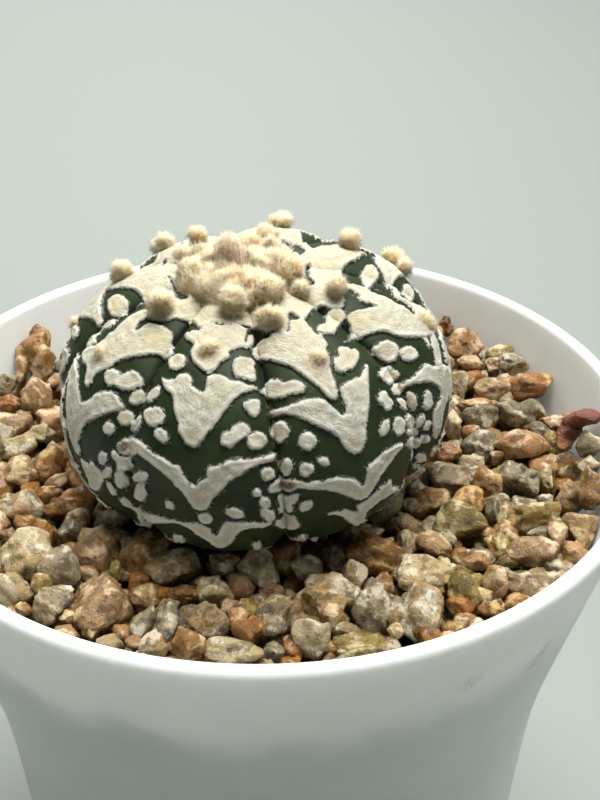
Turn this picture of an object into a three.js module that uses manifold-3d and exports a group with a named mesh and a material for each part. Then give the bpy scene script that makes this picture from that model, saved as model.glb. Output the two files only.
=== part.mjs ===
// A star cactus with felt chevrons, growing in grit in a flared white plastic pot.
// Millimetres, +Z up. The origin is the centre of the circle on which the pot stands.
// The front faces -Y. Azimuths are in degrees: 0 is the front, and they grow towards +X.

import * as THREE from 'three';
import { ConvexGeometry } from 'three/addons/geometries/ConvexGeometry.js';
import * as BufferGeometryUtils from 'three/addons/utils/BufferGeometryUtils.js';
import Module from 'manifold-3d';

const wasm = await Module();
wasm.setup();

const CLEARANCE = 0.3;
const TINY = 1e-6;

const POT = {
  height: 85,
  footRadius: 33.5,
  wall: 1.8,
  lowerSlope: 0.06,
  upperSlope: 0.25,
  bendHeight: 50,
  bendSoftness: 4,
  footHeight: 2,
  footWidth: 3.4,
  footDraft: 0.4,
  footEdge: 0.8,
  floorThickness: 1.8,
  floorFillet: 2,
  lipSteps: 4,
  stations: [34, 43, 49, 55, 64],
  sides: 48,
};
const DRAIN = { centreRadius: 4, ringRadius: 3, ringAt: 19, ringCount: 4, sides: 12 };

const SOIL = { top: 65.5, sides: 24 };
const GRIT = {
  bedTop: 73,
  slope: 0.16,
  slopeFrom: -2,
  slopeTo: 26,
  wallMargin: 2.2,
  stemLevel: 2.39,
  stemMargin: -1.2,
  pitch: 5.6,
  jitter: 0.9,
  lift: 0.9,
  liftSpread: 0.75,
  meanRadius: 3.7,
  radiusSpread: 0.5,
  width: [0.78, 0.96],
  thickness: [0.68, 0.84],
  reach: [0.92, 1.12],
  tilt: 0.45,
  corners: 8,
  cornerTurn: 2.4,
  cornerJitter: 0.9,
  seed: 41,
};

const STEM = {
  place: [-1.5, 2, 86.9],
  leanForward: 0.065,
  leanLeft: -0.088,
  radius: 23.8,
  crownRise: 16.2,
  underside: 14.6,
  roundness: 2.28,
  ribs: 8,
  firstRibAzimuth: -13,
  fluteDepth: 0.9,
  fluteShape: 2.2,
  creaseDepth: 0.6,
  creaseWidth: 0.16,
  furrowStart: 6,
  furrowRunOut: 0.9,
  crownDimple: 1.7,
  dimpleRadius: 4.5,
  slicesPerRib: 8,
  crownRings: [1.6, 3.2, 5],
  baseRings: [46, 51, 57, 64, 70],
};
const RIB_PITCH = 360 / STEM.ribs;
const ROOT = { topRadius: 6.5, tipRadius: 1.6, tipHeight: 38, collar: 3, sunk: 4, sides: 14 };
const HOLLOW = { rings: 14, sides: 26, slack: 0.12, capShare: 0.6 };

const FELT = { raise: 0.42, brinkSlope: 0.4, sink: 0.7, flecksRaise: 0.55 };
// Each chevron's lower edge at the furrow and at its apex, and its width there, from the crown outwards.
const CHEVRONS = [
  { furrow: 9.8, apex: 15.6, thick: 4.4, end: 2.2 },
  { furrow: 17.6, apex: 24, thick: 4, end: 1.4 },
  { furrow: 25.6, apex: 31.6, thick: 2.9, end: 1.2 },
  { furrow: 34, apex: 37.9, thick: 2, end: 1 },
];
const CHEVRON_BEND = 0.85;
// How much lower than on the front left rib the apexes lie, rib by rib towards +X.
const CHEVRON_SHIFTS = [0, 2.6, 1.5, -0.6, 2, 0.5, -0.8, 3];
const FLECKS = {
  first: 11,
  last: 42,
  step: 3.5,
  nearest: 1.2,
  spread: 1.9,
  footRadius: [0.9, 1.5],
  topShare: 0.62,
  sides: 4,
  seed: 7,
};

const AREOLES = {
  radius: 1.4,
  height: 2.4,
  sides: 6,
  outline: [[0, 0], [0.8, 0], [1, 0.65], [0.7, 0.92], [0, 1]],
};
// Distance of each woolly areole from the crown, rib by rib from the front left rib towards +X.
const AREOLE_ROWS = [
  [7, 10.3, 14],
  [9.1, 16.6],
  [6.9, 11.3, 23.1],
  [9.5, 15.5, 22.6],
  [8.4, 12, 17.1],
  [6.9, 11, 17],
  [7, 12.5, 20],
  [6.9, 10.1, 19.3],
];

const WOOL = {
  radius: 4.3,
  crestRadius: 3.2,
  holeRadius: 2.4,
  thickness: 1.5,
  crestThickness: 2,
  lift: 0.5,
  bulge: 0.3,
  sides: 18,
  tufts: 8,
  tuftRadius: 1.5,
  tuftRing: 3.5,
  tuftLift: 0.75,
  seed: 5,
};
const BUD = {
  radius: 1.9,
  height: 5.4,
  lift: 0.65,
  footShare: 0.82,
  swell: 0.75,
  lobes: 5,
  lobeDepth: 0.2,
  sides: 15,
  rings: 6,
};

const CHIP = {
  path: [
    [37.6, 3.4, 76.6],
    [38.4, 4.6, 78.2],
    [39.3, 5, 79.8],
    [40, 4.2, 81],
    [40.5, 2.9, 81.8],
    [40.8, 1.4, 82.3],
  ],
  halfWidth: 1.9,
  halfThickness: 1.25,
  tipShare: 0.45,
  fullness: 0.6,
  facets: 4,
  steps: 9,
};

// Seeded numbers from 0 to 1, the same on every run.
function makeRandom(seed) {
  let state = seed;
  return () => {
    state = (state * 1664525 + 1013904223) % 4294967296;
    return state / 4294967296;
  };
}

function between([low, high], share) {
  return low + (high - low) * share;
}

function bare(geometry) {
  const copy = geometry.clone();
  copy.deleteAttribute('normal');
  copy.deleteAttribute('uv');
  return BufferGeometryUtils.mergeVertices(copy);
}

function toSolid(geometry) {
  const merged = bare(geometry);
  return new wasm.Manifold(new wasm.Mesh({
    numProp: 3,
    vertProperties: new Float32Array(merged.getAttribute('position').array),
    triVerts: new Uint32Array(merged.getIndex().array),
  }));
}

function toGeometry(solid) {
  const mesh = solid.getMesh();
  const geometry = new THREE.BufferGeometry();
  geometry.setAttribute('position', new THREE.BufferAttribute(mesh.vertProperties, 3));
  geometry.setIndex(new THREE.BufferAttribute(mesh.triVerts, 1));
  geometry.computeVertexNormals();
  return geometry;
}

// Joins solids pair by pair, so that no join works on a needlessly large mesh.
function fuse(solids) {
  let row = solids;
  while (row.length > 1) {
    const next = [];
    for (let i = 0; i < row.length; i += 2) {
      next.push(i + 1 < row.length ? row[i].add(row[i + 1]) : row[i]);
    }
    row = next;
  }
  return row[0];
}

// Keeps the largest body of a solid: loose scraps and sealed hollows are dropped.
function wholeBody(solid) {
  const pieces = solid.decompose();
  pieces.sort((a, b) => b.volume() - a.volume());
  return pieces[0];
}

function lathe(points, sides) {
  const geometry = new THREE.LatheGeometry(points.map(([r, z]) => new THREE.Vector2(r, z)), sides);
  geometry.rotateX(Math.PI / 2);
  return geometry;
}

// Outer radius of the pot wall: a slight taper that bends out into the flare.
function potRadius(z) {
  const bend = POT.bendSoftness * Math.log(1 + Math.exp((z - POT.bendHeight) / POT.bendSoftness));
  return POT.footRadius + POT.lowerSlope * z + (POT.upperSlope - POT.lowerSlope) * bend;
}

const potBore = (z) => potRadius(z) - POT.wall;

function heights(from, to, steps) {
  return Array.from({ length: steps + 1 }, (_, i) => from + ((to - from) * i) / steps);
}

function potProfile() {
  const floor = POT.footHeight + POT.floorThickness;
  const lipRadius = POT.wall / 2;
  const lipZ = POT.height - lipRadius;
  const lipCentre = potRadius(lipZ) - lipRadius;
  const lip = heights(0, Math.PI, POT.lipSteps).map((angle) => [
    lipCentre + lipRadius * Math.cos(angle),
    lipZ + lipRadius * Math.sin(angle),
  ]);
  const footInside = POT.footRadius - POT.footWidth;
  return [
    [0, POT.footHeight],
    [footInside, POT.footHeight],
    [footInside + POT.footDraft, 0],
    [POT.footRadius - POT.footEdge, 0],
    [POT.footRadius, POT.footEdge],
    ...POT.stations.map((z) => [potRadius(z), z]),
    ...lip,
    ...POT.stations.toReversed().map((z) => [potBore(z), z]),
    [potBore(floor + POT.floorFillet), floor + POT.floorFillet],
    [potBore(floor) - POT.floorFillet, floor],
    [0, floor],
  ];
}

function drainHole(radius, x, y) {
  const geometry = new THREE.CylinderGeometry(radius, radius, POT.footHeight * 4, DRAIN.sides);
  geometry.rotateX(Math.PI / 2);
  geometry.translate(x, y, POT.footHeight);
  return toSolid(geometry);
}

function makePot() {
  const holes = [drainHole(DRAIN.centreRadius, 0, 0)];
  for (let i = 0; i < DRAIN.ringCount; i += 1) {
    const angle = ((i + 0.5) * 2 * Math.PI) / DRAIN.ringCount;
    holes.push(drainHole(DRAIN.ringRadius, DRAIN.ringAt * Math.cos(angle), DRAIN.ringAt * Math.sin(angle)));
  }
  return toGeometry(toSolid(lathe(potProfile(), POT.sides)).subtract(fuse(holes)));
}

// A point on the plain meridian of the stem, psi running from 0 at the crown to pi underneath.
function meridian(psi) {
  const power = 2 / STEM.roundness;
  const radius = STEM.radius * Math.abs(Math.sin(psi)) ** power;
  const half = Math.cos(psi) >= 0 ? STEM.crownRise : -STEM.underside;
  const dimple = STEM.crownDimple * Math.exp(-((radius / STEM.dimpleRadius) ** 2));
  const height = half * Math.abs(Math.cos(psi)) ** power;
  return [radius, Math.cos(psi) > 0 ? height - dimple : height];
}

// The angle psi at each step of the meridian's length from the crown, for placing marks in millimetres.
const MERIDIAN_STEPS = 600;
const MERIDIAN_LENGTHS = (() => {
  const lengths = [0];
  for (let i = 1; i <= MERIDIAN_STEPS; i += 1) {
    const [r0, z0] = meridian(((i - 1) * Math.PI) / MERIDIAN_STEPS);
    const [r1, z1] = meridian((i * Math.PI) / MERIDIAN_STEPS);
    lengths.push(lengths[i - 1] + Math.hypot(r1 - r0, z1 - z0));
  }
  return lengths;
})();

function psiAt(length) {
  const next = MERIDIAN_LENGTHS.findIndex((value) => value >= length);
  const before = Math.max(next - 1, 0);
  const gap = MERIDIAN_LENGTHS[next] - MERIDIAN_LENGTHS[before] || 1;
  return ((before + (length - MERIDIAN_LENGTHS[before]) / gap) * Math.PI) / MERIDIAN_STEPS;
}

function lengthAt(psi) {
  const place = (psi / Math.PI) * MERIDIAN_STEPS;
  const low = Math.min(Math.floor(place), MERIDIAN_STEPS - 1);
  return MERIDIAN_LENGTHS[low] + (place - low) * (MERIDIAN_LENGTHS[low + 1] - MERIDIAN_LENGTHS[low]);
}

// Depth of the furrow below the plain meridian: a broad flute with a sharp crease at its bottom.
function furrow(psi, azimuth) {
  const turn = (azimuth - STEM.firstRibAzimuth) / RIB_PITCH;
  const across = 2 * Math.abs(turn - Math.round(turn));
  const flute = STEM.fluteDepth * across ** STEM.fluteShape;
  const crease = STEM.creaseDepth * Math.exp(-(1 - across) / STEM.creaseWidth);
  const fromCrown = 1 - Math.exp(-lengthAt(psi) / STEM.furrowStart);
  const toBase = Math.min(1, (Math.PI - psi) / STEM.furrowRunOut);
  return (flute + crease) * fromCrown * toBase;
}

// A point of the ribbed stem, raised along the plain meridian's normal, in the stem's own frame.
function stemPoint(psi, azimuth, raise = 0) {
  const step = 0.002;
  const [r, z] = meridian(psi);
  const [ra, za] = meridian(Math.max(psi - step, 0));
  const [rb, zb] = meridian(Math.min(psi + step, Math.PI));
  const size = Math.hypot(rb - ra, zb - za) || 1;
  const offset = raise - furrow(psi, azimuth);
  const radial = r + (offset * (za - zb)) / size;
  const angle = THREE.MathUtils.degToRad(azimuth);
  return new THREE.Vector3(
    Math.max(radial, 0) * Math.sin(angle),
    -Math.max(radial, 0) * Math.cos(angle),
    z + (offset * (rb - ra)) / size,
  );
}

// One ring of the stem's mesh: where it crosses the middle of a rib and a furrow, and how far it stands up.
function plainRing(length) {
  return { middle: length, furrow: length, follow: 0, raise: 0 };
}

// The four rings of one chevron: its upper edge, foot then brow, and its lower edge, brow then foot.
function chevronRings({ furrow: arm, apex, thick, end }) {
  const brink = FELT.raise * FELT.brinkSlope;
  return [
    { middle: apex - thick - brink, furrow: arm - end - brink, follow: 1, raise: 0 },
    { middle: apex - thick, furrow: arm - end, follow: 1, raise: FELT.raise },
    { middle: apex, furrow: arm, follow: 1, raise: FELT.raise },
    { middle: apex + brink, furrow: arm + brink, follow: 1, raise: 0 },
  ];
}

function stemRings() {
  return [
    ...STEM.crownRings.map(plainRing),
    ...CHEVRONS.flatMap(chevronRings),
    ...STEM.baseRings.map(plainRing),
  ];
}

// The flesh with its chevrons, meshed along rings that dip from each furrow to the middle of each rib.
function stemFlesh(grow = 0) {
  const slices = STEM.ribs * STEM.slicesPerRib;
  const vertices = [...stemPoint(0, 0, grow).toArray()];
  const faces = [];
  for (const { middle, furrow: edge, follow, raise } of stemRings()) {
    for (let i = 0; i < slices; i += 1) {
      const turn = i / STEM.slicesPerRib;
      const rib = Math.floor(turn);
      const across = Math.abs(2 * (turn - rib) - 1);
      const low = middle + follow * CHEVRON_SHIFTS[rib];
      const length = low + (edge - low) * across ** CHEVRON_BEND;
      const azimuth = STEM.firstRibAzimuth + (turn - 0.5) * RIB_PITCH;
      const lift = grow + (across < 1 ? raise : 0);
      vertices.push(...stemPoint(psiAt(length), azimuth, lift).toArray());
    }
  }
  vertices.push(...stemPoint(Math.PI, 0, grow).toArray());
  const rings = (vertices.length / 3 - 2) / slices;
  const foot = vertices.length / 3 - 1;
  for (let i = 0; i < slices; i += 1) {
    const next = (i + 1) % slices;
    faces.push(0, 1 + i, 1 + next);
    for (let ring = 0; ring < rings - 1; ring += 1) {
      const above = 1 + ring * slices;
      const below = above + slices;
      faces.push(above + i, below + i, below + next, above + i, below + next, above + next);
    }
    faces.push(foot - slices + i, foot, foot - slices + next);
  }
  const geometry = new THREE.BufferGeometry();
  geometry.setAttribute('position', new THREE.Float32BufferAttribute(vertices, 3));
  geometry.setIndex(faces);
  return toSolid(geometry);
}

// A small turned shape that stands on the surface; its outline runs from 0 at the sunk foot to 1 at its top.
function button(length, azimuth, raise, outline, sides) {
  const foot = stemPoint(psiAt(length), azimuth, -FELT.sink);
  const top = stemPoint(psiAt(length), azimuth, raise);
  const height = foot.distanceTo(top);
  const geometry = lathe(outline.map(([radius, share]) => [radius, share * height]), sides);
  const turn = new THREE.Quaternion().setFromUnitVectors(
    new THREE.Vector3(0, 0, 1),
    top.clone().sub(foot).normalize(),
  );
  geometry.applyQuaternion(turn);
  geometry.translate(foot.x, foot.y, foot.z);
  return toSolid(geometry);
}

function stemFlecks() {
  const random = makeRandom(FLECKS.seed);
  const solids = [];
  for (let groove = 0; groove < STEM.ribs; groove += 1) {
    const middle = STEM.firstRibAzimuth + (groove + 0.5) * RIB_PITCH;
    let side = 1;
    for (let length = FLECKS.first; length < FLECKS.last; length += FLECKS.step) {
      const radius = meridian(psiAt(length))[0];
      const reach = FLECKS.nearest + FLECKS.spread * random();
      const azimuth = middle + side * THREE.MathUtils.radToDeg(reach / radius);
      const size = between(FLECKS.footRadius, random());
      const outline = [[0, 0], [size, 0], [size * FLECKS.topShare, 1], [0, 1]];
      solids.push(button(length + random(), azimuth, FELT.flecksRaise, outline, FLECKS.sides));
      side = -side;
    }
  }
  return solids;
}

function stemAreoles() {
  const { radius, height, sides } = AREOLES;
  const outline = AREOLES.outline.map(([share, level]) => [radius * share, level]);
  return AREOLE_ROWS.flatMap((row, rib) => row.map((length) => {
    const azimuth = STEM.firstRibAzimuth + rib * RIB_PITCH;
    return button(length, azimuth, height, outline, sides);
  }));
}

// The tap root hangs plumb from the underside, whatever the stem's lean.
function rootSolid(grow, stemToPot) {
  const foot = new THREE.Vector3(0, 0, -STEM.underside).applyMatrix4(stemToPot);
  const top = foot.z + ROOT.sunk;
  const geometry = lathe([
    [0, ROOT.tipHeight - grow],
    [ROOT.tipRadius + grow, ROOT.tipHeight - grow],
    [ROOT.topRadius + grow, foot.z - ROOT.collar],
    [ROOT.topRadius + grow, top],
    [0, top],
  ], ROOT.sides);
  geometry.translate(foot.x, foot.y, 0);
  return geometry;
}

function makeStem(stemToPot) {
  const root = rootSolid(0, stemToPot).applyMatrix4(stemToPot.clone().invert());
  const relief = fuse([...stemFlecks(), ...stemAreoles()]);
  return toGeometry(wholeBody(stemFlesh().add(relief).add(toSolid(root))));
}

// The space that the stem and its root take up in grit and soil, grown by the clearance.
function stemEnvelope(stemToPot) {
  const grow = FELT.raise + CLEARANCE + HOLLOW.slack;
  const points = heights(Math.PI, 0, HOLLOW.rings).map((psi) => {
    const [r, z] = meridian(psi);
    const share = Math.abs(Math.sin(psi));
    const radius = share < TINY ? 0 : r + grow * share;
    return [radius, z + grow * Math.sign(z) * (1 - share * HOLLOW.capShare)];
  });
  const stem = toSolid(lathe(points, HOLLOW.sides).applyMatrix4(stemToPot));
  return stem.add(toSolid(rootSolid(CLEARANCE, stemToPot)));
}

// The radius of what fills the pot, a clearance inside the wall.
const fillRadius = (z) => potBore(z) - CLEARANCE;

function makeSoil(envelope) {
  const bottom = POT.footHeight + POT.floorThickness + CLEARANCE;
  const bevel = POT.floorFillet + CLEARANCE;
  const profile = [
    [0, bottom],
    [fillRadius(bottom) - bevel, bottom],
    [fillRadius(bottom + bevel), bottom + bevel],
    ...POT.stations.map((z) => [fillRadius(z), z]),
    [fillRadius(SOIL.top), SOIL.top],
    [0, SOIL.top],
  ];
  return toGeometry(toSolid(lathe(profile, SOIL.sides)).subtract(envelope));
}

// One angular grain: the hull of scattered points on a squashed, turned ellipsoid.
function grain(random, x, y, z, radius) {
  const width = between(GRIT.width, random());
  const thickness = between(GRIT.thickness, random());
  const tiltX = between([-GRIT.tilt, GRIT.tilt], random());
  const tiltY = between([-GRIT.tilt, GRIT.tilt], random());
  const turn = new THREE.Quaternion().setFromEuler(new THREE.Euler(tiltX, tiltY, random() * Math.PI));
  const points = [];
  for (let i = 0; i < GRIT.corners; i += 1) {
    const level = 1 - (2 * (i + 0.5)) / GRIT.corners;
    const around = i * GRIT.cornerTurn + random() * GRIT.cornerJitter;
    const flat = Math.sqrt(1 - level * level);
    const reach = radius * between(GRIT.reach, random());
    const across = width * flat * Math.sin(around);
    const point = new THREE.Vector3(flat * Math.cos(around), across, thickness * level);
    points.push(point.multiplyScalar(reach).applyQuaternion(turn).add(new THREE.Vector3(x, y, z)));
  }
  return toSolid(new ConvexGeometry(points));
}

// The grit lies higher towards the back.
const gritRise = (y) => GRIT.slope * (Math.min(Math.max(y, GRIT.slopeFrom), GRIT.slopeTo) - GRIT.slopeFrom);

// Grains on a jittered triangular grid between the stem and the pot wall.
function gritGrains(stemToPot) {
  const random = makeRandom(GRIT.seed);
  const spread = (half) => between([-half, half], random());
  const [stemWaist, stemDrop] = meridian(GRIT.stemLevel);
  const stem = new THREE.Vector3(0, 0, stemDrop).applyMatrix4(stemToPot);
  const stemRadius = stemWaist + GRIT.stemMargin;
  const outer = potBore(GRIT.bedTop) - GRIT.wallMargin;
  const rowStep = GRIT.pitch * Math.sqrt(3) / 2;
  const rows = Math.ceil(outer / rowStep);
  const grains = [];
  for (let row = -rows; row <= rows; row += 1) {
    for (let column = -rows; column <= rows; column += 1) {
      const x = (column + (row % 2) / 2) * GRIT.pitch + spread(GRIT.jitter);
      const y = row * rowStep + spread(GRIT.jitter);
      const lift = GRIT.lift + spread(GRIT.liftSpread);
      const radius = GRIT.meanRadius + spread(GRIT.radiusSpread);
      const inside = Math.hypot(x, y) < outer;
      const clearOfStem = Math.hypot(x - stem.x, y - stem.y) > stemRadius;
      if (inside && clearOfStem) {
        grains.push(grain(random, x, y, GRIT.bedTop + gritRise(y) + lift, radius));
      }
    }
  }
  return grains;
}

function makeGrit(envelope, stemToPot) {
  const bottom = SOIL.top + CLEARANCE;
  const filling = (top) => toSolid(lathe([
    [0, bottom],
    [fillRadius(bottom), bottom],
    [fillRadius(top), top],
    [0, top],
  ], POT.sides));
  const normal = new THREE.Vector3(0, GRIT.slope, -1);
  const offset = (GRIT.slope * GRIT.slopeFrom - GRIT.bedTop) / normal.length();
  const bank = filling(GRIT.bedTop + gritRise(POT.height)).trimByPlane(normal.normalize().toArray(), offset);
  const bed = fuse([filling(GRIT.bedTop), bank]);
  const heap = fuse([bed, ...gritGrains(stemToPot)]).intersect(filling(POT.height));
  return toGeometry(wholeBody(heap.subtract(envelope).subtract(toSolid(chipGeometry(CLEARANCE)))));
}

// The height of the flesh near the crown, with room for the wool's clearance and its slope.
function crownHeight(radius) {
  const steps = heights(0, Math.PI / 2, MERIDIAN_STEPS).map(meridian);
  return steps.find(([r]) => r >= radius)[1] + WOOL.lift;
}

// The crown's wool sits in the dimple, a clearance above the flesh, round the bud's foot.
function makeWool() {
  const { holeRadius, crestRadius, radius: edgeRadius, thickness, crestThickness } = WOOL;
  const inner = crownHeight(holeRadius);
  const crest = crownHeight(crestRadius);
  const edge = crownHeight(edgeRadius);
  const ring = toSolid(lathe([
    [holeRadius, inner],
    [crestRadius, crest],
    [edgeRadius, edge],
    [edgeRadius + WOOL.bulge, edge + thickness / 2],
    [crestRadius, crest + crestThickness],
    [holeRadius, inner + thickness],
    [holeRadius, inner],
  ], WOOL.sides));
  const random = makeRandom(WOOL.seed);
  const tufts = [];
  for (let i = 0; i < WOOL.tufts; i += 1) {
    const angle = (i * 2 * Math.PI) / WOOL.tufts + random() * WOOL.bulge;
    const radius = WOOL.tuftRadius * between([0.85, 1.15], random());
    const geometry = new THREE.SphereGeometry(radius, 6, 4);
    const height = crownHeight(WOOL.tuftRing) + WOOL.tuftRadius + WOOL.tuftLift;
    geometry.translate(WOOL.tuftRing * Math.cos(angle), WOOL.tuftRing * Math.sin(angle), height);
    tufts.push(toSolid(geometry));
  }
  return toGeometry(wholeBody(fuse([ring, ...tufts]).subtract(stemFlesh(CLEARANCE))));
}

// A pointed bud with a few pleats, standing on the crown inside the ring of wool.
function makeBud() {
  const foot = meridian(0)[1] + BUD.lift;
  const profile = heights(0, 1, BUD.rings).map((t) => [
    t === 1 ? 0 : BUD.radius * Math.sqrt(1 - t) * (BUD.footShare + BUD.swell * t),
    foot + BUD.height * t,
  ]);
  const geometry = lathe([[0, foot], ...profile], BUD.sides);
  const position = geometry.getAttribute('position');
  for (let i = 0; i < position.count; i += 1) {
    const x = position.getX(i);
    const y = position.getY(i);
    const pleat = 1 - BUD.lobeDepth * Math.abs(Math.sin((Math.atan2(y, x) * BUD.lobes) / 2));
    position.setXY(i, x * pleat, y * pleat);
  }
  return bare(geometry);
}

// A dry curl, thickest in the middle, drawn out to both ends.
function chipGeometry(grow = 0) {
  const curve = new THREE.CatmullRomCurve3(CHIP.path.map((p) => new THREE.Vector3(...p)));
  const section = new THREE.Shape();
  section.absellipse(0, 0, 1, 1, 0, 2 * Math.PI);
  const geometry = bare(new THREE.ExtrudeGeometry(section, {
    steps: CHIP.steps,
    curveSegments: CHIP.facets,
    extrudePath: curve,
    bevelEnabled: false,
  }));
  const position = geometry.getAttribute('position');
  const stations = curve.getSpacedPoints(CHIP.steps);
  const point = new THREE.Vector3();
  for (let i = 0; i < position.count; i += 1) {
    point.fromBufferAttribute(position, i);
    const distances = stations.map((station) => station.distanceTo(point));
    const nearest = distances.indexOf(Math.min(...distances));
    const fullness = Math.sin((Math.PI * nearest) / CHIP.steps) ** CHIP.fullness;
    const share = between([CHIP.tipShare, 1], fullness);
    const width = CHIP.halfWidth * share + grow;
    const height = CHIP.halfThickness * share + grow;
    point.sub(stations[nearest]).multiply(new THREE.Vector3(width, width, height)).add(stations[nearest]);
    position.setXYZ(i, point.x, point.y, point.z);
  }
  return geometry;
}

function makeMesh(name, geometry, color, roughness) {
  const mesh = new THREE.Mesh(geometry, new THREE.MeshStandardMaterial({ color, roughness, metalness: 0 }));
  mesh.name = name;
  return mesh;
}

const plant = new THREE.Group();
plant.position.set(...STEM.place);
plant.rotation.set(STEM.leanForward, STEM.leanLeft, 0, 'YXZ');
plant.updateMatrixWorld(true);
const stemToPot = plant.matrixWorld.clone();
const envelope = stemEnvelope(stemToPot);

plant.add(makeMesh('cactus_body', makeStem(stemToPot), 0x3a4628, 0.6));
plant.add(makeMesh('crown_wool', makeWool(), 0xbfae8c, 0.95));
plant.add(makeMesh('flower_bud', makeBud(), 0xb19c7f, 0.9));

const group = new THREE.Group();
group.add(makeMesh('pot', makePot(), 0xe2e7e1, 0.35));
group.add(makeMesh('soil', makeSoil(envelope), 0x4a3a2a, 0.95));
group.add(makeMesh('gravel', makeGrit(envelope, stemToPot), 0x9a8560, 0.5));
group.add(plant);
group.add(makeMesh('bark_chip', chipGeometry(), 0x6b3222, 0.6));

export default group;
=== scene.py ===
"""A star cactus with white felt marks, standing in mixed grit in a flared white plastic pot.

Sizes in the classes are millimetres and meshes are made in metres. +Z is up and the front faces -Y.
Azimuths are degrees: 0 is the front and they grow towards +X. Lengths along the stem start at its crown.
"""

import logging
import math
from dataclasses import dataclass, field
from enum import Enum
from functools import cached_property

import bmesh
import bpy
import numpy as np
from bpy.types import Material, Mesh, Node, NodeSocket, NodeTree, Object
from mathutils import Matrix, Vector
from mathutils.bvhtree import BVHTree


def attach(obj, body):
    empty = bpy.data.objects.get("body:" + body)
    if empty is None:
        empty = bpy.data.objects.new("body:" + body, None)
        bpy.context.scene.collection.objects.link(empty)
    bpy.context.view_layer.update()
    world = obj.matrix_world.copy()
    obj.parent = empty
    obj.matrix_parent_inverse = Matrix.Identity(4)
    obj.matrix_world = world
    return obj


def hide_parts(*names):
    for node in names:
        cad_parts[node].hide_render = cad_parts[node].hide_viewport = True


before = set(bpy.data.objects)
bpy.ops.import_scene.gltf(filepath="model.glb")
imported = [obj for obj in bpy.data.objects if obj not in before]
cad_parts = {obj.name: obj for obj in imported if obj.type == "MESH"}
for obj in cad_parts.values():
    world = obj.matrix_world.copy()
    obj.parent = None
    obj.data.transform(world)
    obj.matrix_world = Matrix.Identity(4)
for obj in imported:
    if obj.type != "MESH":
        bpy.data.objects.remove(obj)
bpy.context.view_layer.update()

MM = 0.001
PHOTO_SIZE = (600, 800)

Array = np.ndarray
Colour = tuple[float, float, float, float]
Pixel = tuple[float, float]
Triple = tuple[float, float, float]

log = logging.getLogger("potted_cactus")


def srgb(red: int, green: int, blue: int) -> Colour:
    """Turns a colour as seen on a screen into a linear one.

    Args:
        red, green, blue: Screen values from 0 to 255.

    Returns:
        The linear colour with full alpha.
    """
    linear = []
    for value in (red, green, blue):
        share = value / 255
        linear.append(share / 12.92 if share <= 0.04045 else ((share + 0.055) / 1.055) ** 2.4)
    return (linear[0], linear[1], linear[2], 1.0)


class Dice:
    """Seeded numbers from 0 to 1 that follow the same rule as the solid model's."""

    def __init__(self, seed: int) -> None:
        """Starts the row of numbers at a seed."""
        self.state = seed

    def roll(self) -> float:
        """Returns the next number."""
        self.state = (self.state * 1664525 + 1013904223) % 4294967296
        return self.state / 4294967296

    def spread(self, half: float) -> float:
        """Returns the next number, scaled to lie between -half and half."""
        return -half + 2 * half * self.roll()


def value_noise(points: Array, seed: int) -> Array:
    """Smooth noise on a lattice of unit cells.

    Args:
        points: Places, one row each.
        seed: Chooses one of many patterns.

    Returns:
        A value from -1 to 1 for each place.
    """
    cell = np.floor(points).astype(np.int64)
    part = points - cell
    fade = part * part * (3 - 2 * part)
    total = np.zeros(len(points))
    for corner in range(8):
        step = np.array([corner & 1, corner >> 1 & 1, corner >> 2 & 1])
        place = cell + step
        mixed = place[:, 0] * 73856093 ^ place[:, 1] * 19349663 ^ place[:, 2] * 83492791 ^ seed * 2654435
        mixed = (mixed ^ mixed >> 13) * 1274126177 & 0xFFFFFFFF
        mixed = (mixed ^ mixed >> 16) & 0xFFFFFFFF
        weight = np.prod(np.where(step == 1, fade, 1 - fade), axis=1)
        total += weight * (mixed / 2147483648.0 - 1)
    return total


def fractal(points: Array, scale: float, octaves: int, seed: int) -> Array:
    """Sums noise of ever finer scale.

    Args:
        points: Places, one row each.
        scale: Cells per unit of length in the first layer.
        octaves: Number of layers.
        seed: Chooses the pattern.

    Returns:
        A value of about -1 to 1 for each place.
    """
    total = np.zeros(len(points))
    for octave in range(octaves):
        total += value_noise(points * scale * 2**octave + 31.7 * octave, seed + octave) * 0.5**octave
    return total


def unit(vectors: Array) -> Array:
    """Scales each row to length one."""
    return vectors / np.maximum(np.linalg.norm(vectors, axis=-1, keepdims=True), 1e-12)


def smoothstep(low: float, high: float, value: Array) -> Array:
    """Eases from 0 at low to 1 at high."""
    share = np.clip((value - low) / (high - low), 0, 1)
    return share * share * (3 - 2 * share)


def rounded(outline: Array, passes: int = 2) -> Array:
    """Cuts the corners of a closed outline.

    Args:
        outline: Corner points, one row each.
        passes: How often each corner is cut.

    Returns:
        The rounder outline with more points.
    """
    for _ in range(passes):
        following = np.roll(outline, -1, axis=0)
        outline = np.stack([0.75 * outline + 0.25 * following, 0.25 * outline + 0.75 * following], axis=1)
        outline = outline.reshape(-1, outline.shape[-1])
    return outline


def inside_distance(points: Array, outline: Array) -> Array:
    """Distance of flat points from a closed outline, positive inside it.

    Args:
        points: Flat places, one row each.
        outline: The outline's corners in order.

    Returns:
        The signed distance of each place.
    """
    nearest = np.full(len(points), 1e9)
    inside = np.zeros(len(points), bool)
    for start, end in zip(outline, np.roll(outline, -1, axis=0)):
        edge = end - start
        offset = points - start
        share = np.clip(offset @ edge / max(edge @ edge, 1e-12), 0, 1)
        nearest = np.minimum(nearest, np.linalg.norm(offset - share[:, None] * edge, axis=1))
        crosses = (start[1] > points[:, 1]) != (end[1] > points[:, 1])
        if edge[1] != 0:
            where = start[0] + (points[:, 1] - start[1]) / edge[1] * edge[0]
            inside ^= crosses & (points[:, 0] < where)
    return np.where(inside, nearest, -nearest)


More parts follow.
